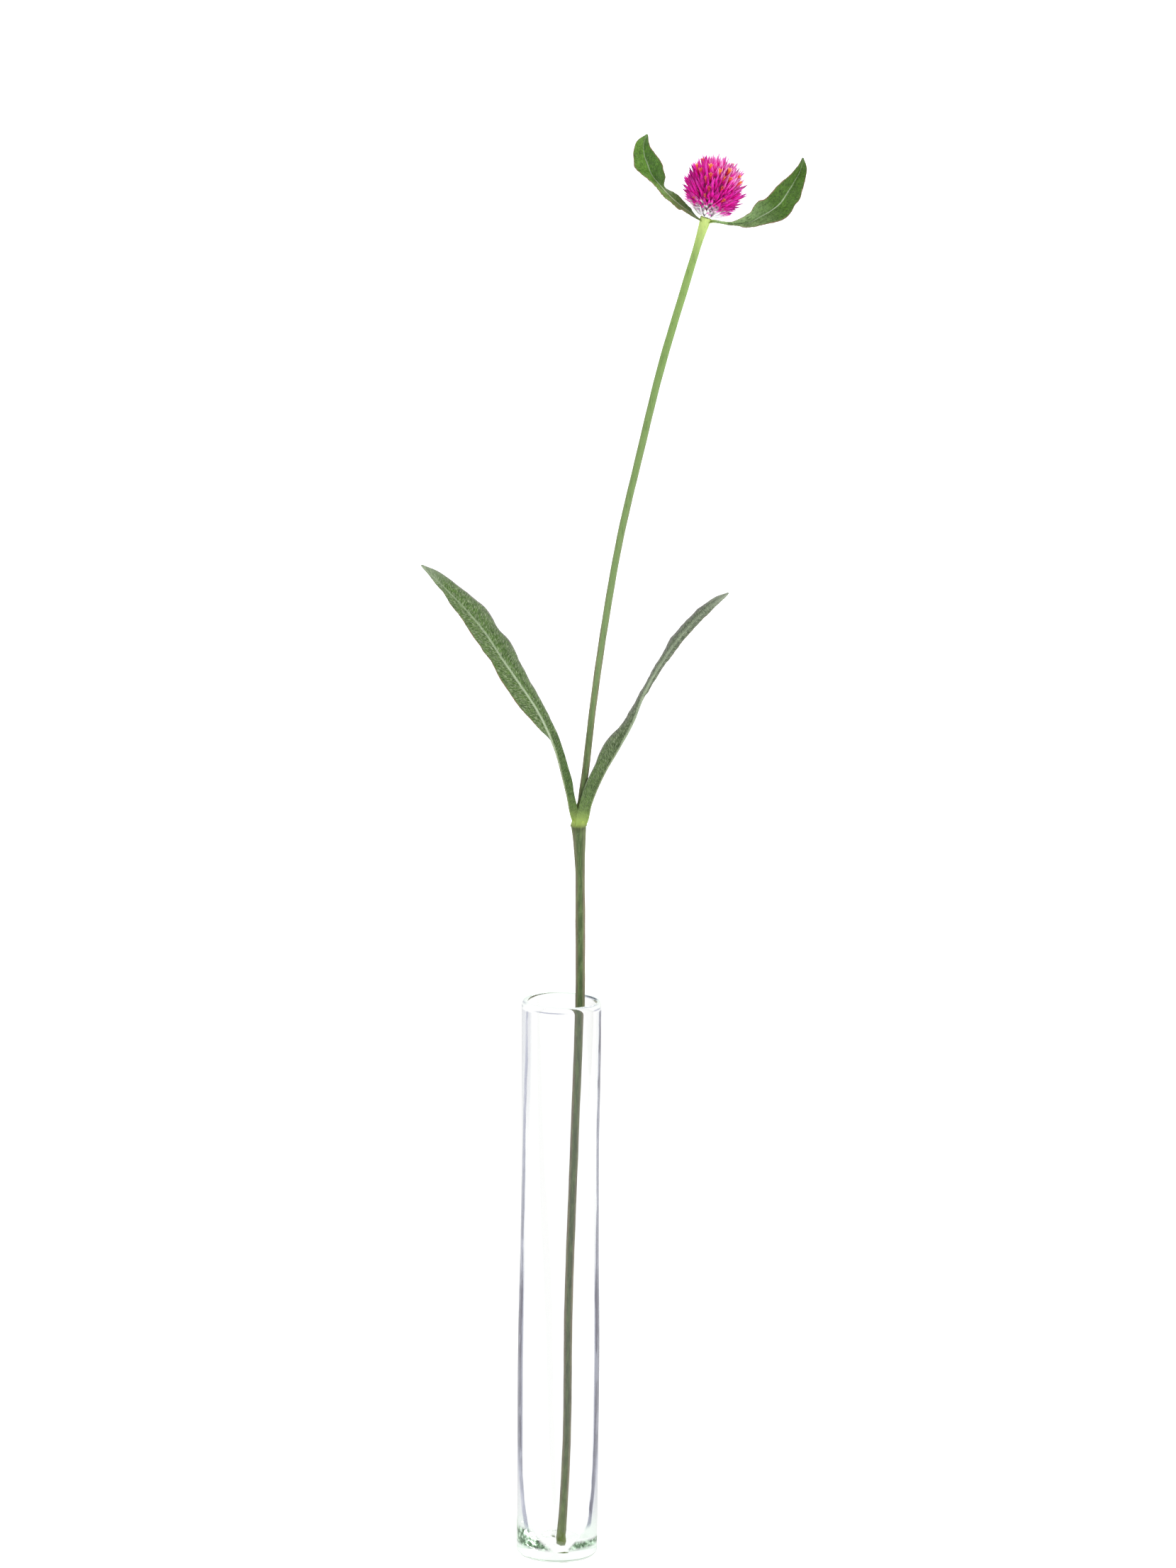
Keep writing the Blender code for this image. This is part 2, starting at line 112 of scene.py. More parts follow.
def object_of(name, points, faces, surface, uv=None, sharp=None, **marks):
    """A smooth-shaded mesh of whole arrays: points (n, 3), lists of faces, and each point's UV and marks."""
    mesh = bpy.data.meshes.new(name)
    mesh.from_pydata(points.reshape(-1, 3), [], [face for part in faces for face in part.tolist()])
    mesh.shade_smooth()
    if sharp:
        mesh.set_sharp_from_angle(angle=math.radians(sharp))
    if uv is not None:
        corner = np.empty(len(mesh.loops), np.int32)
        mesh.loops.foreach_get("vertex_index", corner)
        layer = mesh.uv_layers.new(name="surface")
        layer.data.foreach_set("uv", uv.reshape(-1, 2)[corner].astype(np.float32).ravel())
    for title, values in marks.items():
        attribute = mesh.attributes.new(title, "FLOAT", "POINT")
        attribute.data.foreach_set("value", np.ravel(values).astype(np.float32))
    mesh.materials.append(surface)
    made = bpy.data.objects.new(name, mesh)
    bpy.context.scene.collection.objects.link(made)
    return made


def quads(rows, columns, closed=False):
    """Faces between the points of a grid. With closed, the last column joins the first."""
    i, j = np.meshgrid(np.arange(rows - 1), np.arange(columns - (not closed)), indexing="ij")
    n = (j + 1) % columns
    corners = [i * columns + j, i * columns + n, (i + 1) * columns + n, (i + 1) * columns + j]
    return np.stack(corners, -1).reshape(-1, 4)


def fan(ring, pole):
    """Triangles from a pole to each edge of a ring of points, taken in the ring's own direction."""
    return np.stack([ring, np.roll(ring, -1), np.full(len(ring), pole)], -1)


def capped(rows, columns):
    """Faces of a tube of rings and of two poles, the points after the rings: the foot's, then the top's."""
    ring, pole = np.arange(columns), rows * columns
    return [quads(rows, columns, closed=True), fan(ring[::-1], pole), fan(pole - columns + ring, pole + 1)]


def material_of(name):
    """A new material: its tree, its Principled shader and its output."""
    made = bpy.data.materials.new(name)
    made.use_nodes = True
    tree = made.node_tree
    return made, tree, tree.nodes["Principled BSDF"], tree.nodes["Material Output"]


def feed(node, feeds):
    """Pairs a node's inputs, by name or place, with a socket to link in or a value to set."""
    for key, value in dict(feeds).items():
        if isinstance(value, bpy.types.NodeSocket):
            node.id_data.links.new(value, node.inputs[key])
        else:
            node.inputs[key].default_value = value


def put(tree, kind, feeds=(), **settings):
    """Adds a node with these settings and feeds."""
    made = tree.nodes.new(kind)
    for name, value in settings.items():
        setattr(made, name, value)
    feed(made, feeds)
    return made


def tree_of(*values):
    """The node tree that the first socket among these values belongs to."""
    return next(value.id_data for value in values if isinstance(value, bpy.types.NodeSocket))


def maths(operation, *values, clamp=False):
    """The socket of a Math node on these sockets or numbers."""
    made = put(tree_of(*values), "ShaderNodeMath", enumerate(values), operation=operation, use_clamp=clamp)
    return made.outputs[0]


def times(a, b, clamp=False):
    """The socket of a times b."""
    return maths("MULTIPLY", a, b, clamp=clamp)


def plus(a, b, clamp=False):
    """The socket of a plus b."""
    return maths("ADD", a, b, clamp=clamp)


def minus(a, b, clamp=False):
    """The socket of a less b."""
    return maths("SUBTRACT", a, b, clamp=clamp)


def noise(place, scale, detail, roughness=0.5):
    """The value socket of a cloudy noise read at a place."""
    feeds = {"Vector": place, "Scale": scale, "Detail": detail, "Roughness": roughness}
    return put(place.id_data, "ShaderNodeTexNoise", feeds).outputs["Fac"]


def own_place(tree):
    """The socket of a point's place in the part."""
    return put(tree, "ShaderNodeTexCoord").outputs["Object"]


def squeezed(place, scale):
    """The socket of a place with each of its axes scaled."""
    return put(place.id_data, "ShaderNodeMapping", {"Vector": place, "Scale": scale}).outputs[0]


def mark(tree, title):
    """The socket of one of the mesh's own marks."""
    return put(tree, "ShaderNodeAttribute", attribute_name=title).outputs["Fac"]


def facing_share(tree, **normal):
    """The socket of 1 - cos of the angle between the look and the surface, or the given normal."""
    return put(tree, "ShaderNodeLayerWeight", {"Blend": 0.5, **normal}).outputs["Facing"]


def colours(share, low, high, way="MIX"):
    """The socket of low mixed towards high by share. Each is a socket or a colour."""
    low, high = [c if isinstance(c, bpy.types.NodeSocket) else (*c, 1.0) for c in (low, high)]
    feeds = {0: share, 6: low, 7: high}
    return put(tree_of(share, low), "ShaderNodeMix", feeds, data_type="RGBA", blend_type=way).outputs[2]


def shaders(share, first, second):
    """The socket of the first shader mixed towards the second by share."""
    return put(first.id_data, "ShaderNodeMixShader", {0: share, 1: first, 2: second}).outputs[0]


def ramp(value, *stops):
    """The colour socket of a Color Ramp on value. Each stop is (place, grey) or (place, (r, g, b))."""
    made = put(value.id_data, "ShaderNodeValToRGB", {0: value})
    elements = made.color_ramp.elements
    for k, (place, colour) in enumerate(stops):
        element = elements[k] if k < 2 else elements.new(place)
        element.position = place
        element.color = (*colour, 1.0) if isinstance(colour, tuple) else (colour,) * 3 + (1.0,)
    return made.outputs[0]


def smooth(rows, t):
    """Rows of numbers, the first three of them a place, read at shares t of the way along them.

    Cubic pieces through every row a and the next b, h apart, with the slopes a' and b' taken across their
    neighbours: (2s^3-3s^2+1) a + (s^3-2s^2+s) h a' + (3s^2-2s^3) b + (s^3-s^2) h b'.
    """
    rows = np.asarray(rows, float)
    knots = np.concatenate([[0.0], np.cumsum(np.linalg.norm(np.diff(rows[:, :3], axis=0), axis=1))])
    knots /= knots[-1]
    slopes = np.gradient(rows, knots, axis=0)
    t = np.clip(t, 0.0, 1.0)
    i = np.clip(np.searchsorted(knots, t, side="right") - 1, 0, len(knots) - 2)
    span = (knots[i + 1] - knots[i])[:, None]
    s = ((t - knots[i]) / span[:, 0])[:, None]
    return (
        (2 * s**3 - 3 * s**2 + 1) * rows[i]
        + (s**3 - 2 * s**2 + s) * span * slopes[i]
        + (3 * s**2 - 2 * s**3) * rows[i + 1]
        + (s**3 - s**2) * span * slopes[i + 1]
    )


def turned_about_z(profile, count):
    """Point k of the ring at (r, z) is (r cos a, r sin a, z), where a = 2 pi k / count."""
    a = 2 * np.pi * np.arange(count) / count
    r, z = profile[:, 0, None], profile[:, 1, None]
    return np.stack([r * np.cos(a), r * np.sin(a), z + 0 * a], -1)


def vase_profile():
    """(radius, height) from the foot's middle, round the heel, up the wall, over the rim, down bore and bowl.

    The foot's middle is pushed up. Outside and bowl are cubics through their rows, and the bore swells and
    narrows by a few hundredths of a millimetre more. Each place has four marks: whether it is outside, how
    far over the lip in degrees, how lumpy, and how the wall looks where a straight look grazes the bore.
    """
    push = np.linspace(0.0, 1.0, 8)[1:]
    foot = np.stack([FOOT_REACH * push, FOOT_PUSH * (1 - push**2) ** 2], -1)
    a = np.linspace(0, np.pi / 2, 9)
    across = smooth(np.insert(OUTSIDE_ROWS, 1, 0.0, axis=1), np.linspace(0, 1, 200))[:, [0, 2]]
    heel_middle = [across[0, 1] - HEEL_RADIUS, HEEL_RADIUS]
    heel = heel_middle + HEEL_RADIUS * np.stack([np.sin(a), -np.cos(a)], -1)
    lip_foot = VASE_HEIGHT - LIP_HEIGHT - 0.6 * MM
    z = np.concatenate([np.linspace(2.4 * MM, 18 * MM, 22), np.linspace(21 * MM, lip_foot, 66)])
    wall = np.stack([np.interp(z, *across.T), z], -1)
    a = np.linspace(0, np.pi, 37)
    lip = WALL / 2
    rim = np.stack([lip * np.cos(a), LIP_HEIGHT * np.sin(a)], -1)
    rim += [across[-1, 1] - lip, VASE_HEIGHT - LIP_HEIGHT]
    z = np.linspace(lip_foot, BOWL_ROWS[0, 1] + 2 * MM, 90)
    swell = 0.035 * np.sin(z / (11 * MM)) + 0.025 * np.sin(z / (4.3 * MM) + 1.0)
    swell = swell * MM * np.sin(np.pi * np.linspace(0, 1, 90))
    bore = np.stack([np.interp(z, *across.T) - WALL + swell, z], -1)
    bowl = smooth(np.insert(BOWL_ROWS, 1, 0.0, axis=1), np.linspace(0, 1, 44))[:, [0, 2]]
    parts = (foot, heel, wall, rim[:19], rim[19:], bore, bowl)
    lengths = [len(part) for part in parts]
    outside = np.repeat([0.0, 1.0, 1.0, 0.0, 0.0, 0.0, 0.0], lengths)
    over = np.full(sum(lengths), -90.0)
    over[sum(lengths[:3]) : sum(lengths[:5])] = np.degrees(a)
    profile = np.concatenate(parts)
    bumpy = np.repeat([0.0, 0.0, 0.0, 0.0, 0.0, 0.0, 1.0], lengths)
    bumpy = bumpy * np.interp(profile[:, 1], [2.8 * MM, 4 * MM, 9 * MM, 13 * MM], [0.0, 1.0, 1.0, 0.0])
    # the last mark is 1 - cos of the angle at which such a look meets the outside
    within = np.concatenate([bore, bowl])[::-1]
    grazes = np.interp(profile[:, 1], within[:, 1], within[:, 0]) / np.interp(profile[:, 1], *across.T)
    return profile, outside, over, bumpy, 1 - np.sqrt(1 - np.minimum(grazes, 0.999) ** 2)


def clear_glass():
    """Clear glass, a little green in its depth. Lamps shine through it, and so do rays that it has long held.

    Its colour is painted grey where the outside is seen along the wall, a painted reflection, and keeps
    (1 - 0.93 share)^2 of the light: share = max(streak((facing - start) / breadth) strength, veil), where
    these are marks of the mesh.
    Facing is 1 - cos(look, wall) cos(LOOKING_DOWN) / cos(look's slope), so the painted grey stays at the
    sides of the tube from any height. The thick foot shows painted reflections of what lies in it only where
    it is
    looked at from outside: a lumpy green corner, and the heel's line. The lip's thin dark lines are painted
    reflections too.
    """
    made, tree, glass, output = material_of("clear_glass")
    square_on = minus(1.0, facing_share(tree))
    upwards = put(tree, "ShaderNodeCombineXYZ", {2: 1.0}).outputs[0]
    steep = minus(1.0, facing_share(tree, Normal=upwards))
    level = maths("SQRT", minus(1.0, times(steep, steep)))
    slope = maths("DIVIDE", math.cos(LOOKING_DOWN), maths("MAXIMUM", level, 0.05))
    facing = minus(1.0, times(square_on, slope), clamp=True)
    rays = put(tree, "ShaderNodeLightPath").outputs
    strength, start, breadth, veil_start, veil = [
        mark(tree, title) for title in ("strength", "start", "breadth", "veil_start", "veil")
    ]
    # painted reflections, seen only from the camera: the lip's dark lines, the foot's green corner and the
    # heel's line
    lines, corner, heel = [
        times(mark(tree, title), rays["Is Camera Ray"]) for title in ("line", "corner", "heel")
    ]
    place = own_place(tree)
    drawn = squeezed(place, (1.0, 1.0, 0.3))
    streaks = noise(drawn, 260, 3)
    wander = times(minus(streaks, 0.5), 0.10)
    from_start = plus(minus(facing, start), wander)
    across = maths("DIVIDE", from_start, breadth)
    streak = ramp(across, (0, 0), (0.15, 1), (0.75, 0.9), (1, 0))
    broken = ramp(streaks, (0.36, 0.7), (0.5, 1))
    streak = times(times(streak, strength), broken)
    into_veil = times(minus(facing, veil_start), 16.0, clamp=True)
    share = maths("MAXIMUM", streak, times(into_veil, veil))
    share = maths("MAXIMUM", share, lines)
    clear = maths("POWER", minus(1.0, times(share, 0.93)), 2.0)
    # painted reflections: greys for where the glass's edge is painted grey, and greens for the foot's painted
    # facets
    painted_reflection_greys = ((0.0, (0.012, 0.010, 0.022)), (0.3, (0.25, 0.26, 0.37)), (1.0, (0.99, 0.99, 0.99)))
    painted_facet_greens = ((0.38, (0.003, 0.010, 0.003)), (0.50, (0.035, 0.095, 0.035)), (0.64, (0.60, 0.90, 0.62)))
    painted_facet = ramp(noise(place, 520, 4, 0.6), *painted_facet_greens)
    painted_reflection_tint = colours(corner, ramp(clear, *painted_reflection_greys), painted_facet)
    painted_reflection_tint = colours(heel, painted_reflection_tint, (0.1, 0.2, 0.1))
    finish = {"Base Color": painted_reflection_tint, "Roughness": 0.0, "Metallic": 0.0, "IOR": 1.5, "Transmission Weight": 1.0}
    feed(glass, finish)
    held = maths("GREATER_THAN", rays["Glossy Depth"], LONG_HELD)
    free = plus(rays["Is Shadow Ray"], held, clamp=True)
    through = put(tree, "ShaderNodeBsdfTransparent", {"Color": (0.97, 0.98, 0.97, 1.0)}).outputs[0]
    depth = {"Color": (0.12, 0.84, 0.26, 1.0), "Density": 2.5}
    body = put(tree, "ShaderNodeVolumeAbsorption", depth).outputs[0]
    feed(output, {"Surface": shaders(free, glass.outputs[0], through), "Volume": body})
    return made


profile, outside, over, bumpy, grazes = vase_profile()
SEGMENTS = 160
rings = turned_about_z(profile, SEGMENTS)
count = len(profile)
turn = 2 * np.pi * np.arange(SEGMENTS) / SEGMENTS
# the rim isn't quite level: its front stands higher than its back, and its left than its right
tip = -0.77 * np.sin(turn) - 0.2 * np.cos(turn)
rings[..., 2] += MM * tip * np.clip((profile[:, 1:] - 180 * MM) / (47 * MM), 0, 1) ** 2
# lumps of up to 0.4 mm on the corner of the bowl: a sum of waves round it and up it
up = profile[:, 1:] / (1.1 * MM)
lumps = np.sin(11 * turn + 2 * up) * np.sin(7 * turn - 3 * up + 1)
lumps += np.sin(23 * turn + 4 * up) * np.sin(17 * turn - 2 * up + 2)
rings[..., 2] += 0.2 * MM * bumpy[:, None] * lumps
rings[..., :2] *= (1 + 0.012 * bumpy[:, None] * np.roll(lumps, 9, axis=1))[..., None]
poles = np.array([[0.0, 0.0, FOOT_PUSH], [0.0, 0.0, FLOOR]])
# painted reflections on the polished lip, as thin dark lines: turn in degrees and its reach, degrees over the
# lip and its reach, how dark
LIP_PAINTED_REFLECTIONS = (
    (31, 22, 118, 15, 1), (134, 16, 112, 10, 0.35), (252, 22, 12, 4, 0.75), (318, 22, 68, 12, 0.4),
    (335, 12, 14, 6, 0.6), (192, 12, 60, 14, 0.4), (186, 9, 14, 9, 0.6),
)
around = (np.degrees(turn)[None] + 180) % 360 - 180
# painted reflections: dark lines on the lip
lines = sum(
    dark * np.exp(-(((around - middle + 180) % 360 - 180) / reach) ** 4 - ((over[:, None] - top) / wide) ** 2)
    for middle, reach, top, wide, dark in LIP_PAINTED_REFLECTIONS
)
# the painted grey reflection's streaks and veils, for each side
band = np.stack([np.interp(profile[:, 1] / MM, BAND_ROWS[:, 0], column) for column in BAND_ROWS[:, 1:].T])
side = 0.5 + 0.5 * np.cos(turn)
start, breadth, strength, veil_start, veil = band[:5, :, None] * (1 - side) + band[5:, :, None] * side
# the corner's painted green facets, a painted reflection, are seen from 5 mm up to a height that depends on
# the side: cosine of the turn, height
CORNER_TOP = np.array([
    (-1, 17), (-0.97, 13), (-0.71, 13.5), (-0.43, 10), (-0.19, 7), (0, 5), (0.19, 5), (0.45, 9.5), (0.9, 9),
    (1, 9),
])
above = np.interp(np.cos(turn), *CORNER_TOP.T)
height = profile[:, 1:] / MM
# painted reflection: a dark line along the heel
painted_heel_line = np.interp(height - 0.6 * np.abs(np.sin(turn)), [0.1, 0.3, 0.65, 1.1], [0.15, 0.3, 1.0, 0.0])
marks = {
    "start": grazes[:, None] + start,
    "breadth": breadth,
    "strength": outside[:, None] * strength,
    "line": lines,
    "veil_start": grazes[:, None] + veil_start,
    "veil": outside[:, None] * veil,
    "corner": outside[:, None] * np.clip((height - 4.8) / 0.9, 0, 1) * np.clip((above - height) / 1.2, 0, 1),
    "heel": outside[:, None] * painted_heel_line,
}
vase = object_of(
    "glass_vase",
    np.concatenate([rings.reshape(-1, 3), poles]),
    capped(count, SEGMENTS),
    clear_glass(),
    **{name: np.concatenate([values.ravel(), [0.0, 0.0]]) for name, values in marks.items()},
)
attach(vase, "root")
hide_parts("vase")


# ---- Stem and stalk ----
# One cut stem, cut square at its foot, ribbed and thinly downy. It swells into a joint that carries the lower
# pair of leaves, and goes on as a thinner stalk that widens into the cushion under the bloom.
# Each row is a place on the middle line and the half width and half depth there, in millimetres.
STEM_ROWS = np.array([
    (1.4, -4.4, 2.35, 2, 2),
    (2.1, -3.4, 14, 1.75, 1.75),
    (3.35, -1.3, 42, 1.65, 1.65),
    (3.8, 2.6, 102, 1.7, 1.7),
    (5.8, 6.8, 172, 1.75, 1.75),
    (7.3, 9, 225, 1.88, 1.85),
    (7.1, 10.8, 258, 1.97, 1.95),
    (6.7, 12, 283, 2.05, 2),
    (6.4, 12.4, 291.5, 2.5, 2.3),
    (6.1, 12.6, 297, 2.95, 2.6),
])
STALK_ROWS = np.array([
    (6.1, 12.6, 297.35, 1.6, 1.6),
    (6.4, 13, 302, 1.5, 1.5),
    (8.5, 14, 318.5, 1.45, 1.45),
    (11.2, 15.4, 344, 1.42, 1.42),
    (15.7, 17.2, 378, 1.45, 1.45),
    (21.3, 19.1, 412, 1.45, 1.45),
    (28.8, 21, 446, 1.48, 1.48),
    (36.7, 22.8, 480, 1.56, 1.56),
    (46.3, 24.6, 514, 1.58, 1.58),
    (51.2, 25.5, 531, 1.65, 1.65),
    (53.8, 26, 540, 2.3, 2.3),
])
STEM_SIDES = 36
RINGS = (300, 250)  # of the stem, and of the stalk
ZONES_REACH = 0.55  # metres up the stem that its colour zones are shares of


def unit(vectors):
    """Each vector divided by its own length."""
    return vectors / np.linalg.norm(vectors, axis=-1, keepdims=True)


def ribbed_rings(rows, count, sides, ribs, depth):
    """Rings square to a line. A point is middle + (1 - depth (0.5 - 0.5 cos(ribs a))^2) (w cos a, d sin a).

    The ribs drift round as they climb, and the bark swells and narrows by up to 2 %.
    """
    fine = smooth(rows, np.linspace(0, 1, count))
    tangent = unit(np.gradient(fine[:, :3], axis=0))
    across = unit(np.cross(np.cross(tangent, [1.0, 0.0, 0.0]), tangent))
    across *= np.sign(across[:, :1])
    behind = np.cross(tangent, across)
    a = 2 * np.pi * np.arange(sides) / sides
    z = fine[:, 2:3]
    drift = 0.5 * np.sin(z / 37.0) + 0.3 * np.sin(z / 13.0 + 2.0)
    reach = 1 - depth * (0.5 - 0.5 * np.cos(ribs * a[None] + drift)) ** 2
    reach = reach * (1 + 0.012 * np.sin(z / 2.3 + 3 * a[None]) + 0.01 * np.sin(z / 5.1 + 1.0))
    return (
        fine[:, None, :3]
        + (reach * np.cos(a) * fine[:, 3:4])[..., None] * across[:, None]
        + (reach * np.sin(a) * fine[:, 4:5])[..., None] * behind[:, None]
    )


def group_of(name, numbers, gives):
    """A new shader group and its inputs: a vector Place and these numbers. It puts out the named values."""
    group = bpy.data.node_groups.new(name, "ShaderNodeTree")
    group.interface.new_socket("Place", in_out="INPUT", socket_type="NodeSocketVector")
    for way, titles in (("INPUT", numbers), ("OUTPUT", gives)):
        for title in titles:
            group.interface.new_socket(title, in_out=way, socket_type="NodeSocketFloat")
    return group, put(group, "NodeGroupInput").outputs


def downy_group():
    """Fine pale hairs lying along a surface: a mask of short streaks.

    Noise is read at a place squeezed across the streaks, and only its highest peaks are kept.
    """
    group, inside = group_of("lying_hairs", ("Fineness", "Amount"), ("Mask",))
    cloud = noise(inside["Place"], inside["Fineness"], 3, 0.62)
    bar = minus(0.72, times(inside["Amount"], 0.22))
    mask = times(minus(cloud, bar), 9.0, clamp=True)
    put(group, "NodeGroupOutput", {"Mask": mask})
    return group


lying_hairs = downy_group()


def surface_uv(tree):
    """The socket of the piece's own UV place."""
    return put(tree, "ShaderNodeUVMap", uv_map="surface").outputs[0]


def axes(place):
    """The sockets X, Y and Z of a place."""
    return put(place.id_data, "ShaderNodeSeparateXYZ", {0: place}).outputs


def stem_skin():
    """Green bark. The height picks its zone, darker inside the vase as painted shade, and the angle round the
    stem gives the left and right sides a brown flush, partly the stem's own striping and partly painted shade
    of its edges.
    """
    made, tree, skin, _ = material_of("stem_green")
    place = own_place(tree)
    height = maths("DIVIDE", axes(place)["Z"], ZONES_REACH, clamp=True)
    # the bark is darker from near the foot up to just under the vase's rim: painted shade of the stem inside
    # the glass
    zone = ramp(
        height,
        (0, (0.105, 0.17, 0)),
        (0.03, (0.066, 0.11, 0.006)),
        (0.1, (0.052, 0.076, 0.026)),
        (0.4, (0.062, 0.094, 0.032)),
        (0.42, (0.078, 0.125, 0.046)),
        (0.5388, (0.082, 0.128, 0.045)),
        (0.5394, (0.06, 0.05, 0.022)),
        (0.54, (0.3, 0.36, 0.13)),
        (0.5445, (0.37, 0.5, 0.075)),
        (0.5515, (0.28, 0.41, 0.065)),
        (0.559, (0.08, 0.12, 0.036)),
        (0.6, (0.105, 0.16, 0.055)),
        (0.65, (0.175, 0.265, 0.105)),
        (0.88, (0.2, 0.325, 0.092)),
        (0.955, (0.27, 0.42, 0.11)),
        (0.982, (0.6, 0.76, 0.22)),
    )
    around = axes(surface_uv(tree))["Y"]
    stretched = squeezed(place, (1.0, 1.0, 0.12))
    streaks = noise(stretched, 1500, 5, 0.6)
    blotches = noise(stretched, 210, 3)
    # the brown flush on the left and the right side is partly the stem's own striping and partly painted
    # shade of its edges
    side = maths("ABSOLUTE", maths("COSINE", times(around, 2 * math.pi)))
    patchy = ramp(blotches, (0.3, 0.35), (0.62, 1))
    flush_and_edge_shade = times(ramp(side, (0.3, 0), (0.8, 0.9)), patchy)
    by_height = (
        (0, 0.2), (0.03, 0.5), (0.06, 1), (0.5, 0.9), (0.538, 0.6), (0.5395, 0), (0.552, 0),
        (0.562, 0.6), (0.6, 0.9), (0.75, 0.45), (0.93, 0),
    )
    flush_and_edge_shade = times(flush_and_edge_shade, ramp(height, *by_height))
    flushed_and_edge_shade = colours(flush_and_edge_shade, zone, (0.215, 0.15, 0.115))
    lined = colours(ramp(streaks, (0.45, 0), (0.7, 0.45)), flushed_and_edge_shade, (0.23, 0.33, 0.12))
    dark = colours(ramp(streaks, (0.3, 0.4), (0.46, 0)), lined, (0.04, 0.075, 0.02))
    feeds = {"Place": squeezed(place, (1.0, 1.0, 0.25)), "Fineness": 3200.0, "Amount": 0.4}
    hairs = put(tree, "ShaderNodeGroup", feeds, node_tree=lying_hairs).outputs[0]
    haired = colours(times(hairs, 0.25), dark, (0.5, 0.56, 0.42))
    rough = ramp(streaks, (0.3, 0.5), (0.7, 0.72))
    bump = put(tree, "ShaderNodeBump", {"Height": streaks, "Strength": 0.35, "Distance": 0.0004}).outputs[0]
    feed(skin, {"Base Color": haired, "Roughness": rough, "Normal": bump, "Specular IOR Level": 0.25})
    return made


lower = ribbed_rings(STEM_ROWS, RINGS[0], STEM_SIDES, ribs=6, depth=0.10)
upper = ribbed_rings(STALK_ROWS, RINGS[1], STEM_SIDES, ribs=5, depth=0.07)
# The collar rounds over its sharp lower edge and tapers up to this ring of the stalk, 14 mm above the joint.
MEETS = 14
ledge = lower[-1].mean(0) + (lower[-1] - lower[-1].mean(0)) * [1.13, 1.13, 1.0] + [0.0, 0.0, 0.15]
step = np.linspace(0, 1, 19)[:-1, None, None]
collar = np.interp(step, [0.0, 0.1, 0.4, 0.7, 1.0], [0.0, 0.14, 0.50, 0.86, 1.0])
shoulder = ledge * (1 - collar) + upper[MEETS] * collar
shoulder[..., 2:] = (ledge * (1 - step) + upper[MEETS] * step)[..., 2:]
heel = lower[0].mean(0) + (lower[0] - lower[0].mean(0)) * 0.93 - [0, 0, 0.05]
stem_rings = np.concatenate([heel[None], lower, shoulder, upper[MEETS:]]) * MM
count = len(stem_rings)
ends = np.stack([stem_rings[0].mean(0), stem_rings[-1].mean(0) + [0.0, 0.0, 0.3 * MM]])
along, around = np.meshgrid(np.linspace(0, 1, count), np.arange(STEM_SIDES) / STEM_SIDES, indexing="ij")
stem_uv = np.concatenate([np.stack([along, around], -1).reshape(-1, 2), [[0.0, 0.5], [1.0, 0.5]]])
stem = object_of(
    "ribbed_stem",
    np.concatenate([stem_rings.reshape(-1, 3), ends]),
    capped(count, STEM_SIDES),
    stem_skin(),
    uv=stem_uv,
    sharp=60,
)
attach(stem, "root")
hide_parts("stem")


# ---- Leaves ----
# A pair of long leaves folded along the midrib at the joint, and a pair of short ones under the bloom. Each
# has a raised midrib, slanting side veins, a waved brown margin and short silver hairs.
FRONT = np.array([0.0, -1.0, 0.25])  # the side that the lean angles are counted from
LEAF_THICKNESS, LEAF_TIP_HALF_WIDTH = 0.32, 0.3  # millimetres, as the rows below
LEAF_ROWS, LEAF_COLUMNS = 190, 41
UV_UNIT = 100.0  # millimetres

# Each row is a place on the midrib, the true half width there, and how far the left and the right half lean
# towards the front. A negative lean turns a half away, so that the underside shows.
LOWER_LEFT = np.array([
    (5.8, 12.6, 295.8, 1.8, -127, 45),
    (4.3, 12.2, 298.5, 2.2, -129, 45),
    (1.4, 10.6, 310.4, 2.7, -120, 14),
    (-0.8, 9, 319.4, 3, -123, -9),
    (-2.3, 7.4, 325.5, 3.3, -124, -17),
    (-5.7, 5, 335.8, 4, -58, -42),
    (-11.3, 2, 347.6, 4.9, -21, -42),
    (-18, -0.5, 358.3, 5.6, -23, -42),
    (-24.8, -3, 369.1, 6.1, -39, -15),
    (-31.5, -4.4, 379.7, 6.1, -39, -28),
    (-39.2, -5.9, 389.5, 5.6, -41, 18),
    (-47.7, -6.9, 398.6, 3.9, -68, 19),
    (-56.4, -7.9, 407.1, 0.3, -52, -2),
])
LOWER_RIGHT = np.array([
    (7.2, 12.2, 295.9, 2.2, 45, -126),
    (8.6, 11.9, 297.9, 2.9, 45, -126),
    (10.8, 12.5, 306.1, 3.5, 35, -120),
    (15.9, 14.8, 318, 4.7, 21, -111),
    (22, 17.3, 328.2, 5.3, -10, -109),
    (27.3, 19.3, 338.2, 5, -47, -93),
    (31.2, 21.2, 348.4, 4.8, -72, -77),
    (36.1, 22.8, 357.8, 4.9, -70, -74),
    (42.1, 23.8, 367.1, 5, -66, -65),
    (48.8, 24.8, 375.7, 4.7, -57, -64),
    (56.3, 25.6, 383, 3.5, -53, -60),
    (64.5, 26, 389.2, 0.3, -25, -47),
])
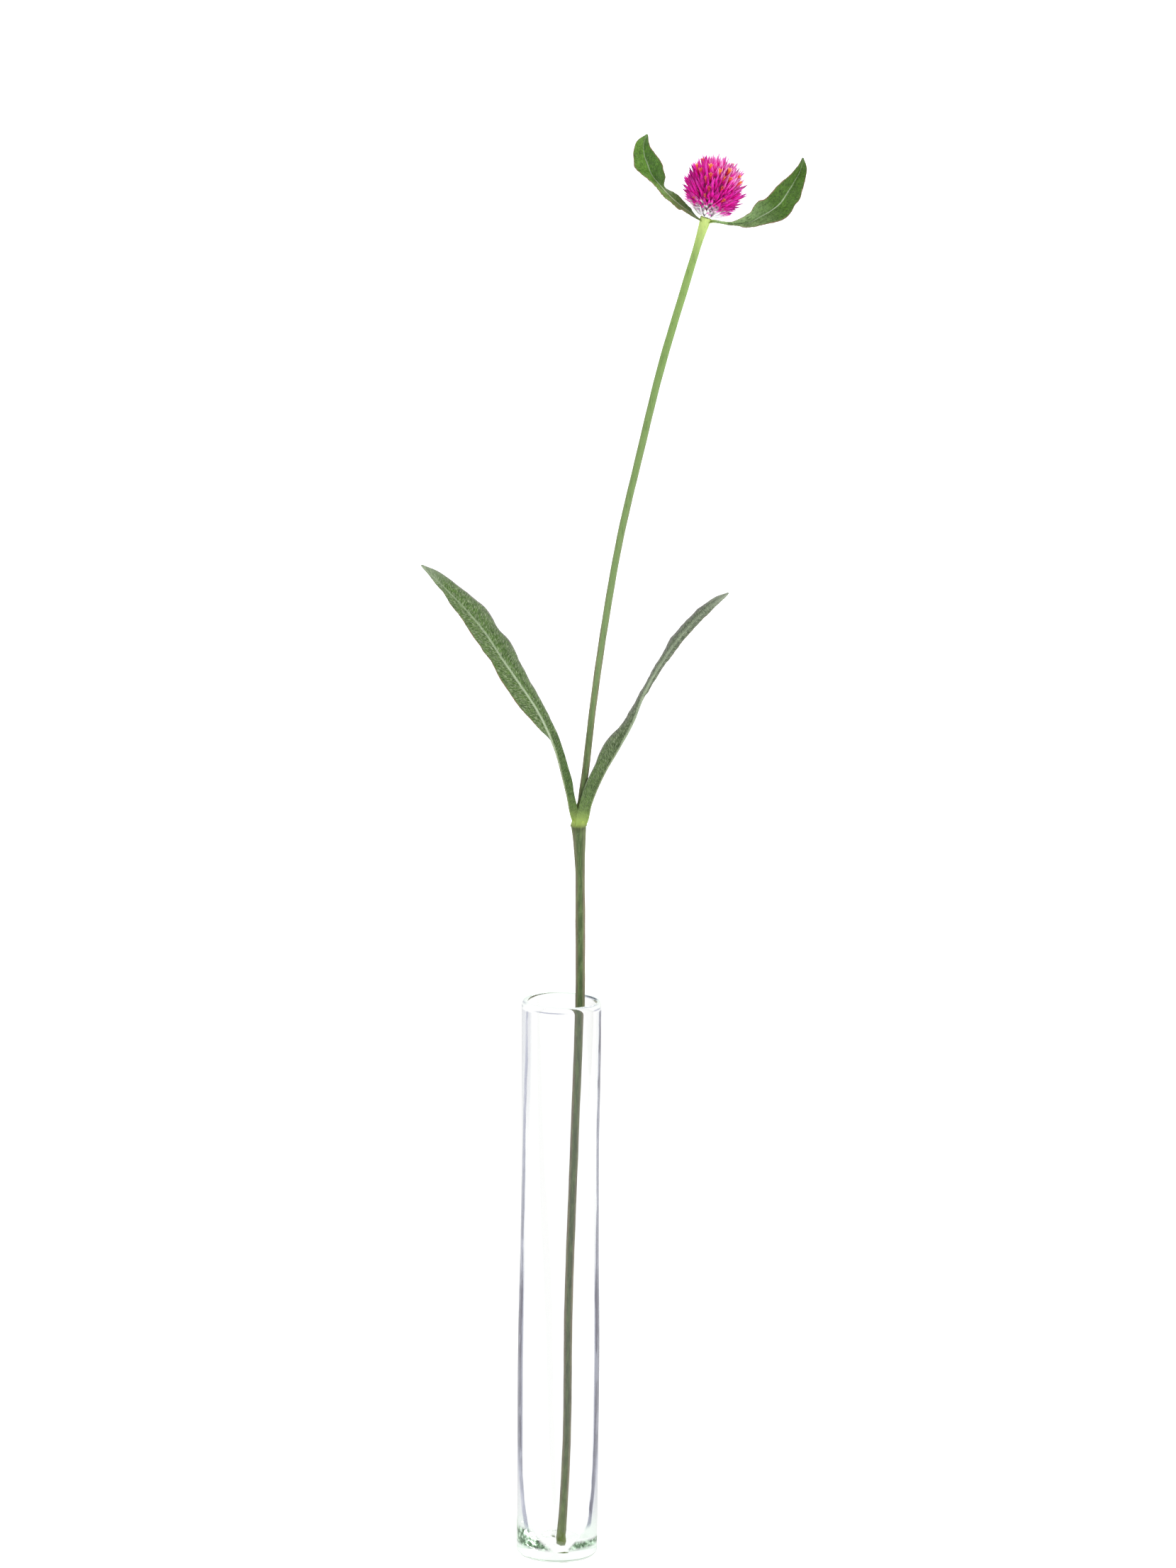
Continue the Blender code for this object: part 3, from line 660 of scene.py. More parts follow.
UPPER_LEFT = np.array([
    (53.2, 25.6, 538.3, 1, 78, -55),
    (50.8, 24.8, 539.6, 1.2, 76, -58),
    (47.2, 23, 542.8, 2.2, 68, -41),
    (43.7, 21.2, 545.7, 3.2, 73, -42),
    (40.6, 19.4, 548.8, 3.9, 61, -56),
    (37.6, 17.8, 552.2, 4.3, 60, -67),
    (34.8, 16.8, 555.4, 4.8, 72, -13),
    (32.3, 16.4, 558.8, 5.3, 61, 9),
    (30.8, 16.8, 562.6, 5.4, 25, 7),
    (29.4, 17.6, 566.5, 4.6, 14, 31),
    (29.2, 18.8, 570.4, 3.2, 5, 45),
    (30.5, 20.2, 574.1, 0.3, 2, 35),
])
UPPER_RIGHT = np.array([
    (54.4, 25.8, 538.3, 1, 54, 56),
    (56.5, 25.2, 538.6, 1.1, 54, 56),
    (60.5, 23.6, 538.4, 1, 55, 66),
    (65.4, 22.2, 538.3, 1.9, 42, 77),
    (70.5, 21.2, 539, 3.7, 35, 53),
    (74.8, 20.4, 541.4, 5.2, 15, 53),
    (79.1, 19.8, 544.1, 5.9, 19, 33),
    (82.9, 19.4, 547.5, 5.9, 27, -11),
    (85.6, 19.2, 551.7, 5.4, 23, -9),
    (88.2, 19.3, 556.1, 4.4, 41, 19),
    (90.5, 19.6, 560.5, 2.8, 47, 18),
    (91.4, 20, 565.4, 0.3, 48, 7),
])


def blade(rows, waves, margins, u, v):
    """Middle surface of a leaf: midrib(u) + w(u) m(u) |v| outward + wave normal.

    w is the half width, and m a cubic through the even steps of that half's margin. Each half leaves the
    midrib at its own lean. waves are how many there are, how high in millimetres, and each half's phase:
    wave = height sin(pi u)^0.7 |v|^1.6 sin(2 pi (count u + phase)).
    Returns the points, how far each is from the midrib, and how far along the midrib each row is.
    """
    fine = smooth(rows, u)
    middle, width = fine[:, :3], np.maximum(fine[:, 3], LEAF_TIP_HALF_WIDTH)
    count, height, left_phase, right_phase = waves
    tangent = unit(np.gradient(middle, axis=0))
    facing = unit(FRONT - (tangent @ FRONT)[:, None] * tangent)
    side = np.cross(tangent, facing)
    left = v < 0
    lean = np.radians(np.where(left[None, :], fine[:, 4:5], fine[:, 5:6]))
    lean[:, v == 0] = np.radians((fine[:, 5:6] - fine[:, 4:5]) / 2)
    hand = np.where(left, -1.0, 1.0)[None, :, None]
    cos, sin = np.cos(lean)[..., None], np.sin(lean)[..., None]
    outward = hand * cos * side[:, None] + sin * facing[:, None]
    normal = -hand * sin * side[:, None] + cos * facing[:, None]
    phase = np.where(left, left_phase, right_phase)[None, :]
    fade = np.sin(np.pi * u) ** 0.7
    wave = height * fade[:, None] * np.abs(v)[None, :] ** 1.6
    wave = wave * np.sin(2 * np.pi * (count * u[:, None] + phase))
    steps = np.linspace(0, 1, len(margins[0]))
    trim = smooth(np.stack([steps, 0 * steps, 0 * steps, *margins], -1), u)[:, 3:]
    reach = width[:, None] * np.abs(v)[None, :] * np.where(left[None, :], trim[:, :1], trim[:, 1:])
    grid = middle[:, None] + reach[..., None] * outward + wave[..., None] * normal
    length = np.concatenate([[0.0], np.cumsum(np.linalg.norm(np.diff(middle, axis=0), axis=1))])
    return grid, reach, length


def leaf_mesh(name, rows, waves, margins, keel, crease, spacing, slant, seed, skin):
    """A leaf as one closed skin: the blade moved both ways along its normal.

    Both faces rise and fall together by vein ridges, pillows between veins, ripples of the margin and a
    crease, so a ridge on one is a furrow on the other. The midrib is keel exp(-(reach / r)^2), a ridge on the
    front where keel is above nought, and else a ridge on the back over a shallower furrow on the front.
    Keel, crease and the spacing of the veins are in millimetres.
    """
    draw = np.random.default_rng(seed)
    u = np.linspace(0, 1, LEAF_ROWS)
    v = np.linspace(-1, 1, LEAF_COLUMNS)
    v = np.sign(v) * np.abs(v) ** 1.15
    grid, reach, length = blade(rows, waves, margins, u, v)
    normal = unit(np.cross(np.gradient(grid, axis=1), np.gradient(grid, axis=0)))
    # how many veins up a place is, with half a vein more on the right
    phase = (length[:, None] - slant * reach) / spacing + np.where(v > 0, 0.5, 0.0)[None, :]
    near = (phase % 1.0) - 0.5
    share = reach / np.maximum(reach.max(axis=1, keepdims=True), 1e-6)
    body = np.clip(share * 5, 0, 1) * (1 - np.clip(share, 0, 1) ** 6)
    ridge = np.exp(-((near / 0.10) ** 2)) * body
    pillow = (0.5 - 0.5 * np.cos(2 * np.pi * (phase + 0.5))) * body
    # a crease runs lengthwise down the right half, deepest at the leaf's middle
    off = (v[None, :] - 0.48 - 0.05 * np.sin(7 * u[:, None])) / 0.07
    fold = crease * np.exp(-(off**2)) * np.sin(np.pi * u[:, None]) ** 2
    wide = np.clip(reach.max(axis=1, keepdims=True) / 5.0, 0.15, 1.0)
    sign = 1.0 if keel > 0 else -1.0
    relief = sign * (0.09 * ridge - 0.16 * pillow) * wide
    ripple = sum(
        draw.uniform(0.03, 0.07) * np.sin(2 * np.pi * (k * u[:, None] + draw.uniform() + 0.3 * v[None, :]))
        for k in (9, 14, 23, 37)
    )
    relief = relief + ripple * share**2 * wide - fold
    taper = np.clip(reach.max(axis=1, keepdims=True) / 3.0, 0.35, 1.0)
    front = keel * taper * np.exp(-((reach / (0.42 * taper)) ** 2))
    ridge, furrow = np.maximum(front, 0), np.minimum(front, 0)
    edge = 1 - 0.55 * np.clip(share, 0, 1) ** 8
    half = LEAF_THICKNESS / 2 * edge
    upper_face = grid + normal * (relief + ridge + furrow * 0.6 + half)[..., None]
    lower_face = grid + normal * (relief + furrow - half)[..., None]
    n, m = grid.shape[:2]
    points = np.concatenate([upper_face.reshape(-1, 3), lower_face.reshape(-1, 3)]) * MM
    rim = np.concatenate([
        np.arange(n) * m,
        (n - 1) * m + np.arange(1, m),
        np.arange(n - 2, -1, -1) * m + m - 1,
        np.arange(m - 2, 0, -1),
    ])
    after = np.roll(rim, -1)
    side = np.stack([after, rim, n * m + rim, n * m + after], -1)
    faces = [quads(n, m), quads(n, m)[:, ::-1] + n * m, side]
    place = np.stack([length[:, None] + 0 * reach, reach * np.sign(v)[None, :]], -1) / UV_UNIT
    made = object_of(
        name,
        points,
        faces,
        leaf_skin(f"{name}_green", spacing, slant, **skin),
        uv=np.concatenate([place, place]),
        share=np.tile(np.abs(v), 2 * n),
        half=np.tile(v, 2 * n),
        along=np.tile(np.repeat(u, m), 2),
        front=np.repeat([1.0, 0.0], n * m),
    )
    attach(made, "root")
    return made


def vein_group():
    """Side veins of a leaf, from a place along and across it.

    Vein number = (along - slant |across|) / spacing, and half a vein more on the right. The mask is one on
    its whole numbers plus a half, and falls off over Width.
    """
    group, inside = group_of("side_veins", ("Spacing", "Slant", "Width"), ("Vein",))
    along, across, _ = axes(inside["Place"])
    reach = maths("ABSOLUTE", across)
    right = times(maths("GREATER_THAN", across, 0.0), 0.5)
    climb = minus(along, times(reach, inside["Slant"]))
    number = plus(maths("DIVIDE", climb, inside["Spacing"]), right)
    near = maths("ABSOLUTE", minus(maths("FRACT", number), 0.5))
    vein = minus(1.0, maths("DIVIDE", near, inside["Width"]), clamp=True)
    put(group, "NodeGroupOutput", {"Vein": vein})
    return group


side_veins = vein_group()


def leaf_skin(name, spacing, slant, front_is_upper, upper, under, halves, silver, rib_share, rims, strips):
    """A leaf's two faces. upper and under each run from a colour at the base to one at the tip.

    halves tints the left and the right half, and on the short left leaf paints light on the left half and
    shade on the right, silver is how much hair shows, rib_share how pale the midrib is, rims colours the two
    edges, and strips says how far that colour washes into each half.
    """
    made, tree, skin, _ = material_of(name)
    uv = surface_uv(tree)
    place = own_place(tree)
    share, half, along, front = (mark(tree, title) for title in ("share", "half", "along", "front"))
    right = maths("GREATER_THAN", half, 0.0)
    is_upper = front if front_is_upper else minus(1.0, front)
    mottle = noise(place, 330, 6, 0.65)
    fine = noise(place, 1500, 4, 0.7)
    length = ramp(along, (0.05, 0), (0.58, 1))
    base = colours(is_upper, colours(length, *under), colours(length, *upper))
    # each half's tint, on the short left leaf painted light on the left half and painted shade on the right
    base = colours(1, base, colours(right, *halves), "MULTIPLY")
    dark = tuple(k * c for k, c in zip((0.42, 0.42, 0.4), upper[1]))
    bright = tuple(k * c for k, c in zip((1.75, 1.65, 1.2), upper[1]))
    base = colours(ramp(mottle, (0.36, 0.35), (0.5, 0)), base, dark)
    base = colours(ramp(mottle, (0.52, 0), (0.68, 0.35)), base, bright)
    base = colours(ramp(fine, (0.34, 0.85), (0.5, 0)), base, dark)
    base = colours(ramp(fine, (0.52, 0), (0.66, 0.42)), base, bright)

    # side veins, and hairs that lie along them
    feeds = {"Place": uv, "Spacing": spacing / UV_UNIT, "Slant": slant, "Width": 0.06}
    vein = put(tree, "ShaderNodeGroup", feeds, node_tree=side_veins).outputs[0]
    vein = times(vein, ramp(share, (0.05, 0.3), (0.85, 0.06)))
    base = colours(vein, base, bright)
    run, across, _ = axes(uv)
    reach = maths("ABSOLUTE", across)
    climb = minus(run, times(reach, 0.8))
    lain = put(tree, "ShaderNodeCombineXYZ", {0: climb, 1: times(across, 0.22)}).outputs[0]
    combed = noise(lain, 260, 4, 0.6)
    base = colours(ramp(combed, (0.34, min(1, 1.5 * silver)), (0.5, 0)), base, dark)
    laid = put(tree, "ShaderNodeCombineXYZ", {0: times(run, 0.1), 1: across}).outputs[0]
    lines = noise(laid, 260, 3)
    base = colours(ramp(lines, (0.34, 0.7), (0.46, 0)), base, dark)
    feeds = {"Place": lain, "Fineness": 360.0, "Amount": 0.95}
    hairs = put(tree, "ShaderNodeGroup", feeds, node_tree=lying_hairs).outputs[0]
    hairy = ramp(along, (0.18, 0.3 * silver), (0.36, silver))
    base = colours(times(hairs, hairy), base, (0.54, 0.62, 0.4))

    # the midrib, a broken line towards the tip
    rib = ramp(reach, (0, rib_share), (0.0006, 0.9 * rib_share), (0.0015, 0))
    whole = ramp(along, (0, 0.2), (0.2, 0.4), (0.32, 0.75), (0.55, 0.65), (0.85, 0.25), (1, 0.1))
    whole = plus(whole, ramp(fine, (0.4, 0), (0.6, 0.25)))
    pale = ramp(along, (0.1, (0.62, 0.6, 0.4)), (0.35, (0.56, 0.66, 0.46)))
    base = colours(times(rib, whole, clamp=True), base, pale)

    # the rim is thin and broken, and above the leaf's foot its colour washes into the blade
    rim_colour = colours(right, *rims)
    above_foot = ramp(along, (0.25, 0), (0.5, 1))
    wash = times(ramp(share, (0.4, 0), (0.95, 1)), above_foot)
    wash = times(wash, colours(right, *[(amount,) * 3 for amount in strips]))
    base = colours(wash, base, rim_colour)
    broken = ramp(mottle, (0.38, 0.35), (0.56, 1))
    rim = times(ramp(share, (0.91, 0), (0.97, 1)), broken)
    rim = times(rim, ramp(along, (0.1, 0), (0.25, 0.85)))
    base = colours(rim, base, rim_colour)

    # the foot is lime where it grows from the joint, and the tip pale
    streaky = times(ramp(along, (0.04, 0.5), (0.12, 0)), combed)
    young = plus(ramp(along, (0.02, 1), (0.075, 0)), streaky, clamp=True)
    base = colours(young, base, (0.26, 0.365, 0.078))
    base = colours(ramp(along, (0.9, 0), (1, silver)), base, (0.4, 0.45, 0.35))
    rough = ramp(mottle, (0.3, 0.42), (0.7, 0.62))
    lift = plus(times(fine, 0.5), times(mottle, 0.8))
    bump = put(tree, "ShaderNodeBump", {"Height": lift, "Strength": 0.5, "Distance": 0.0003}).outputs[0]
    feed(skin, {"Base Color": base, "Roughness": rough, "Normal": bump, "Specular IOR Level": 0.25})
    return made


EVEN = ((1.0, 1.0, 1.0), (1.0, 1.0, 1.0))
BROWN, LILAC = (0.30, 0.155, 0.115), (0.30, 0.27, 0.28)

leaf = leaf_mesh(
    "long_leaf_left",
    LOWER_LEFT,
    waves=(5.6, 0.75, 0.1, 0.42),
    margins=(
        (1, 1, 1, 1, 1, 0.99, 1, 1.05, 1.19, 0.85, 0.85, 1.04, 1.13, 1.05, 0.99, 0.93, 0.92, 1.1, 1, 0.92,
         0.83, 0.86, 1.03, 0.95, 0.98, 0.82, 1.12),
        (1.2, 1.5, 1.3, 1.1, 1.18, 1.09, 1.04, 1.03, 0.94, 0.91, 1.03, 1.07, 1, 0.92, 1.03, 1.04, 1.06, 1.05,
         0.9, 1.05, 1.05, 1.01, 1.04, 1, 1.03, 1.22, 1.2),
    ),
    keel=0.3, crease=0.6, spacing=7, slant=1.15, seed=3,
    skin=dict(
        front_is_upper=False,
        upper=((0.08, 0.15, 0.045), (0.075, 0.145, 0.04)),
        under=((0.074, 0.134, 0.034), (0.078, 0.152, 0.028)),
        halves=((1, 1, 0.95), (0.92, 1.02, 0.8)),
        silver=0.5, rib_share=0.8, rims=(BROWN, LILAC), strips=(0, 0.18),
    ),
)
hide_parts("leaf_lower_left")

leaf = leaf_mesh(
    "long_leaf_right",
    LOWER_RIGHT,
    waves=(5.2, 0.3, 0.65, 0.2),
    margins=(
        (1.6, 1.8, 1.65, 1.45, 1.35, 1.15, 1.05, 1.13, 1.13, 1.05, 0.94, 1, 1.03, 0.9, 1.03, 1.08, 1.04, 0.79,
         0.75, 1.15, 1.07, 0.97, 0.89, 0.98, 0.99, 1.15, 1.07),
        (1, 1, 1, 1, 1, 1, 1, 1, 1, 1, 1, 1.04, 1.09, 1.01, 0.87, 0.84, 0.98, 1.13, 1.08, 0.92, 0.82, 0.96,
         1.07, 1.07, 0.9, 0.84, 1.13),
    ),
    keel=0.45, crease=0.2, spacing=7, slant=1.15, seed=5,
    skin=dict(
        front_is_upper=False,
        upper=((0.08, 0.15, 0.045), (0.07, 0.135, 0.04)),
        under=((0.115, 0.205, 0.045), (0.088, 0.104, 0.078)),
        halves=EVEN,
        silver=0.55, rib_share=0.6, rims=(LILAC, BROWN), strips=(0.5, 0),
    ),
)
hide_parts("leaf_lower_right")

leaf = leaf_mesh(
    "short_leaf_left",
    UPPER_LEFT,
    waves=(3.2, 0.35, 0, 0.3),
    margins=(
        (1, 1, 1.01, 1.03, 1.06, 0.96, 0.89, 1.03, 1.39, 1.14, 1, 0.97, 1, 1, 1, 0.98, 1.01, 0.96, 1, 1.02,
         1.07, 0.97, 0.99, 0.97, 1.02, 0.99, 0.97),
        (1, 1, 0.99, 0.97, 1.17, 1.05, 1, 0.97, 0.99, 0.97, 0.99, 0.95, 0.86, 0.98, 0.82, 0.88, 0.95, 0.99,
         1.03, 0.98, 0.93, 0.96, 1.01, 0.98, 1.01, 0.97, 1.03),
    ),
    keel=-0.22, crease=0, spacing=5, slant=1.1, seed=8,
    skin=dict(
        front_is_upper=True,
        upper=((0.14, 0.18, 0.1), (0.085, 0.205, 0.024)),
        under=((0.135, 0.145, 0.095), (0.11, 0.16, 0.055)),
        # painted light and shade: the left half painted lighter and the right half darker, as the leaf's
        # rounding is lit
        halves=((1.45, 1.32, 1.2), (0.72, 0.76, 0.7)),
        silver=0.1, rib_share=1, rims=(BROWN, BROWN), strips=(0, 0),
    ),
)
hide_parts("leaf_upper_left")

leaf = leaf_mesh(
    "short_leaf_right",
    UPPER_RIGHT,
    waves=(3.6, 0.45, 0.55, 0.05),
    margins=(
        (1, 1, 1.01, 1.03, 1.05, 0.91, 1.01, 1.03, 0.98, 0.9, 0.8, 0.97, 1.06, 1.06, 0.93, 0.93, 0.98, 1,
         0.99, 1.01, 1.05, 1.01, 0.93, 0.97, 1.01, 0.99, 1.04),
        (1, 1, 1, 1.02, 1.02, 0.95, 1, 1.11, 1.02, 0.96, 0.99, 0.97, 0.92, 0.93, 0.99, 0.98, 0.95, 0.9, 1.01,
         1.03, 0.97, 1.01, 1.03, 0.99, 1.06, 1.1, 1.02),
    ),
    keel=-0.22, crease=0.15, spacing=5, slant=1.1, seed=13,
    skin=dict(
        front_is_upper=True,
        upper=((0.6, 0.84, 0.42), (0.064, 0.152, 0.014)),
        under=((0.125, 0.155, 0.07), (0.095, 0.16, 0.045)),
        halves=EVEN,
        silver=0.07, rib_share=1, rims=(BROWN, BROWN), strips=(0, 0),
    ),
)
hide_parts("leaf_upper_right")


# ---- Bloom ----
# A round head of papery bracts on a fleshy core. Every flower sits between two folded, keeled bracts whose
# pointed tips make the bristles, and some flowers show an orange crown. Bracts are white where they start.
BLOOM_AXIS = unit(np.array([0.24, 0.08, 0.97]))
STEM_TOP = np.array([53.8, 26.0, 540.0])
CENTRE_UP = 12.8
BLOOM_CENTRE = STEM_TOP + CENTRE_UP * BLOOM_AXIS
CORE_RADIUS = 8.4
BRACT_SINK = 1.6  # how deep a bract starts in the core
FLORET_LENGTH = 5.2
BRACT_TIP_RADIUS = 11.7
FLOWER_COUNT = 250
BASE_COUNT = 46
LOWEST_FLOWER = math.radians(143)
GOLDEN_ANGLE = math.pi * (3 - math.sqrt(5))
UP = np.array([0.0, 0.0, 1.0])

bloom_right = unit(np.cross([0.0, 1.0, 0.0], BLOOM_AXIS))
bloom_turn = np.array([bloom_right, np.cross(bloom_right, BLOOM_AXIS), BLOOM_AXIS])


def into_place(points):
    """From the bloom's own frame (right, front, up) in millimetres to the part's in metres."""
    return (points @ bloom_turn + BLOOM_CENTRE) * MM


def outwards(turn):
    """The way out from the axis at each turn: (cos t, sin t, 0)."""
    return np.stack([np.cos(turn), np.sin(turn), 0 * turn], -1)


def bract_lines(polar, turn):
    """Way out, tip, direction and length of bracts whose tips are this far from the top and round the axis.

    A direction is at 0.5 p + 6 degrees (p / 110 degrees)^2 from the axis, and a bract starts inside the core.
    """
    out = outwards(turn)
    tip = BRACT_TIP_RADIUS * np.stack([np.sin(polar), np.cos(polar)], -1)
    rise = 0.5 * polar + math.radians(6) * (polar / math.radians(110)) ** 2
    way = np.stack([np.sin(rise), np.cos(rise)], -1)
    along = (tip * way).sum(-1)
    apart = np.sqrt(np.maximum(BRACT_TIP_RADIUS**2 - along**2, 0.0))
    inside = np.sqrt(CORE_RADIUS**2 - np.minimum(apart, 0.97 * CORE_RADIUS) ** 2)
    at = tip[:, :1] * out + tip[:, 1:] * UP
    return out, at, unit(way[:, :1] * out + way[:, 1:] * UP), along - inside + BRACT_SINK


def repeated(faces, each, count):
    """The faces of one small shape, for every one of count runs of as many points."""
    start = each * np.arange(count)[:, None, None]
    return [(part + start).reshape(-1, part.shape[1]) for part in faces]


def bract_skins(root, way, wide, deep, length, half_width, bend):
    """Folded boat-shaped bracts with a sharp tip. Row s, corner k of a six-cornered section is
    root + s L way + bend s^2 L deep + w(s) (x_k wide + y_k deep), where
    w = W ((s + .06) / .46)^.6 ((1 - s) / .6)^1.1.
    """
    s = np.array([0.0, 0.12, 0.28, 0.45, 0.62, 0.78, 0.91])
    x = np.array([0.0, 0.62, 1.0, 0.0, -1.0, -0.62])
    y = np.array([0.75, 0.25, -0.45, 0.42, -0.45, 0.25])
    w = half_width[:, None] * ((s + 0.06) / 0.46) ** 0.6 * ((1 - s) / 0.6) ** 1.1
    spine = root[:, None] + (length[:, None] * s)[..., None] * way[:, None]
    spine = spine + (bend[:, None] * length[:, None] * s**2)[..., None] * deep[:, None]
    section = x[:, None] * wide[:, None, None] + y[:, None] * deep[:, None, None]
    body = spine[:, :, None] + w[..., None, None] * section
    tip = root + length[:, None] * way + (bend * length)[:, None] * deep
    count, rows, corners = body.shape[:3]
    points = np.concatenate([body.reshape(count, -1, 3), tip[:, None]], axis=1)
    each = rows * corners + 1
    faces = [
        quads(rows, corners, closed=True),
        fan((rows - 1) * corners + np.arange(corners), rows * corners),
        fan(np.arange(corners)[::-1], 0)[:-2],
    ]
    along = np.concatenate([np.repeat(s, corners), [1.0]])
    across = np.concatenate([np.tile([0.5, 0.75, 1.0, 0.5, 0.0, 0.25], rows), [0.5]])
    uv = np.broadcast_to(np.stack([along, across], -1), (count, each, 2))
    return points, repeated(faces, each, count), uv, each


def bract_surface():
    """Papery magenta. White at the start, darker where dry and painted paler where lit at the tip, with fine
    lines along it that are partly painted highlights and painted shade.
    """
    made, tree, skin, _ = material_of("bract_magenta")
    uv = surface_uv(tree)
    along = axes(uv)["X"]
    shade, pale, dry, glow = (mark(tree, title) for title in ("shade", "pale", "dry", "glow"))
    colour = ramp(shade, (0, (0.64, 0, 0.26)), (0.5, (1, 0.004, 0.46)), (1, (1, 0.07, 0.68)))
    white = ramp(plus(minus(pale, along), 0.5), (0.42, 0), (0.62, 1))
    # fine lines along the bract: the pale ones are partly painted highlights and the dark ones partly painted
    # shade of the gaps between bracts
    wave = noise(squeezed(uv, (1.5, 14, 1)), 1, 4, 0.7)
    colour = colours(ramp(wave, (0.5, 0), (0.72, 0.6)), colour, (1, 0.16, 0.7))
    colour = colours(ramp(wave, (0.28, 0.7), (0.45, 0)), colour, (0.32, 0, 0.13))
    # painted light: towards its end a bract that faces the lamp is painted pale pink
    lit = times(ramp(along, (0.45, 0), (0.8, 1)), glow)
    colour = colours(lit, colour, (1, 0.58, 0.9))
    colour = colours(white, colour, (0.93, 0.84, 0.9))
    tipped = times(ramp(along, (0.52, 0), (0.86, 1)), dry)
    colour = colours(tipped, colour, (0.13, 0.002, 0.06))
    feed(skin, {
        "Base Color": colour,
        "Roughness": ramp(wave, (0.3, 0.38), (0.7, 0.6)),
        "Subsurface Weight": 0.35,
        "Subsurface Radius": (1.0, 0.25, 0.6),
        "Subsurface Scale": 0.0012,
        "Specular IOR Level": 0.2,
    })
    return made


def head_of_bracts():
    """Two bracts for every flower: a spiral of golden angles, a few long ones, and a fan on the cushion."""
    draw = np.random.default_rng(21)
    k = np.arange(FLOWER_COUNT)
    polar = np.arccos(1 - (1 - math.cos(LOWEST_FLOWER)) * (k + 0.5) / FLOWER_COUNT)
    turn = k * GOLDEN_ANGLE + draw.normal(0, 0.05, FLOWER_COUNT)
    # the long ones: polar angle and turn of the tip in degrees, and how far it passes the globe
    extra = np.array([
        (76, 6, 1.9), (98, 4, 2.9), (116, 7, 3), (124, 2, 2.9), (138, 14, 2.4), (103, 181, 1.7),
        (110, 179, 1.6), (114, 184, 1.3), (35, 159, 1.1), (62, 170, 1.5), (68, 163, 1.7), (72, 165, 1.5),
        (81, 155, 1), (43, 22, 1), (103, 200, 1.3), (108, 330, 1.6), (95, 300, 1.4), (120, 280, 1.5),
        (88, 245, 1.4), (60, 270, 1.2), (75, 220, 1.3), (122, 30, 1.8), (127, 350, 2), (92, 90, 0.9),
        (112, 120, 0.9), (52, 350, 1.2), (30, 60, 0.8),
    ])
    polar = np.concatenate([polar, np.radians(extra[:, 0])])
    turn = np.concatenate([turn, np.radians(extra[:, 1])])
    past = np.concatenate([draw.gamma(2.0, 0.42, FLOWER_COUNT) - 0.55, extra[:, 2]])
    past += 0.8 * np.clip(np.cos(polar), 0, 1) ** 3  # the crown of the head stands a little higher
    out, tip, rise, length = bract_lines(polar, turn)
    root = tip - rise * length[:, None]
    length = length + past
    # the lowest bracts start on the cushion and fan out from it, the outer ones flatter and shorter
    ring = (np.arange(BASE_COUNT) + 0.5) / BASE_COUNT
    base_out = outwards(np.arange(BASE_COUNT) * GOLDEN_ANGLE)
    lean = np.radians(40 + 27 * ring + draw.normal(0, 4, BASE_COUNT))[:, None]
    out = np.concatenate([out, base_out])
    around = np.cross(UP, out)
    rise = np.concatenate([rise, np.sin(lean) * base_out + np.cos(lean) * UP])
    root = np.concatenate([root, (1.2 + 0.8 * ring)[:, None] * base_out + (-11.5 - 0.7 * ring)[:, None] * UP])
    reach = 10.5 - 6.0 * ring + 1.4 * np.clip(base_out[:, 0], 0, 1) + draw.normal(0, 0.7, BASE_COUNT)
    length = np.concatenate([length, reach])
    polar = np.concatenate([polar, np.radians(128 + 22 * ring)])
    flowers = len(polar)
    low = np.arange(flowers) >= len(tip)
    pairs = []
    for hand in (-1, 1):
        loose = draw.normal(0, 0.05, (flowers, 3))
        tilted = unit(rise + hand * around * draw.uniform(0.08, 0.2, flowers)[:, None] + loose)
        keel = out * 0.75 + hand * around * draw.uniform(0.3, 1.0, flowers)[:, None]
        deep = unit(np.cross(tilted, np.cross(keel, tilted)))
        pairs.append((
            root + hand * around * 0.35,
            tilted,
            np.cross(deep, tilted),
            deep,
            length * draw.uniform(0.93, 1.04, flowers),
            draw.uniform(0.5, 0.72, flowers) + 0.2 * low,
            draw.normal(0.02, 0.03, flowers) - 0.07 * low,
        ))
    points, faces, uv, each = bract_skins(*[np.concatenate(part) for part in zip(*pairs)])
    height = np.tile(np.degrees(polar), 2)
    shade = draw.beta(1.6, 1.8, len(height))
    pale = np.clip((height - 72) / 70, 0.0, 1.0) ** 1.3 * 0.95 + draw.normal(0, 0.10, len(height))
    pale -= np.tile(0.22 * np.clip(out[:, 0], 0, 1), 2) * (height > 100)
    # tips at the sides dry dark, and so do the long ones
    side_on = np.exp(-(((height - 95) / 40) ** 2))
    dry = np.clip(draw.uniform(-0.8, 0.7, len(height)) + 0.35 * side_on, 0, 1)
    dry[np.tile((np.arange(flowers) >= FLOWER_COUNT) & ~low, 2)] = 0.95
    # painted light: the tips at the top and on the right are painted pale where they face the lamp
    faces_light = unit(root + rise * length[:, None]) @ unit(np.array([0.45, 0.15, 0.88]))
    glow = np.clip((np.tile(faces_light, 2) - 0.55) / 0.28, 0, 1) * draw.uniform(0.3, 1.0, len(height))
    return object_of(
        "bracts",
        into_place(points.reshape(-1, 3)),
        faces,
        bract_surface(),
        uv=uv,
        sharp=75,
        shade=np.repeat(shade, each),
        pale=np.repeat(pale, each),
        dry=np.repeat(dry, each),
        glow=np.repeat(glow, each),
    )


bracts = head_of_bracts()
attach(bracts, "root")
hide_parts("flower_head")


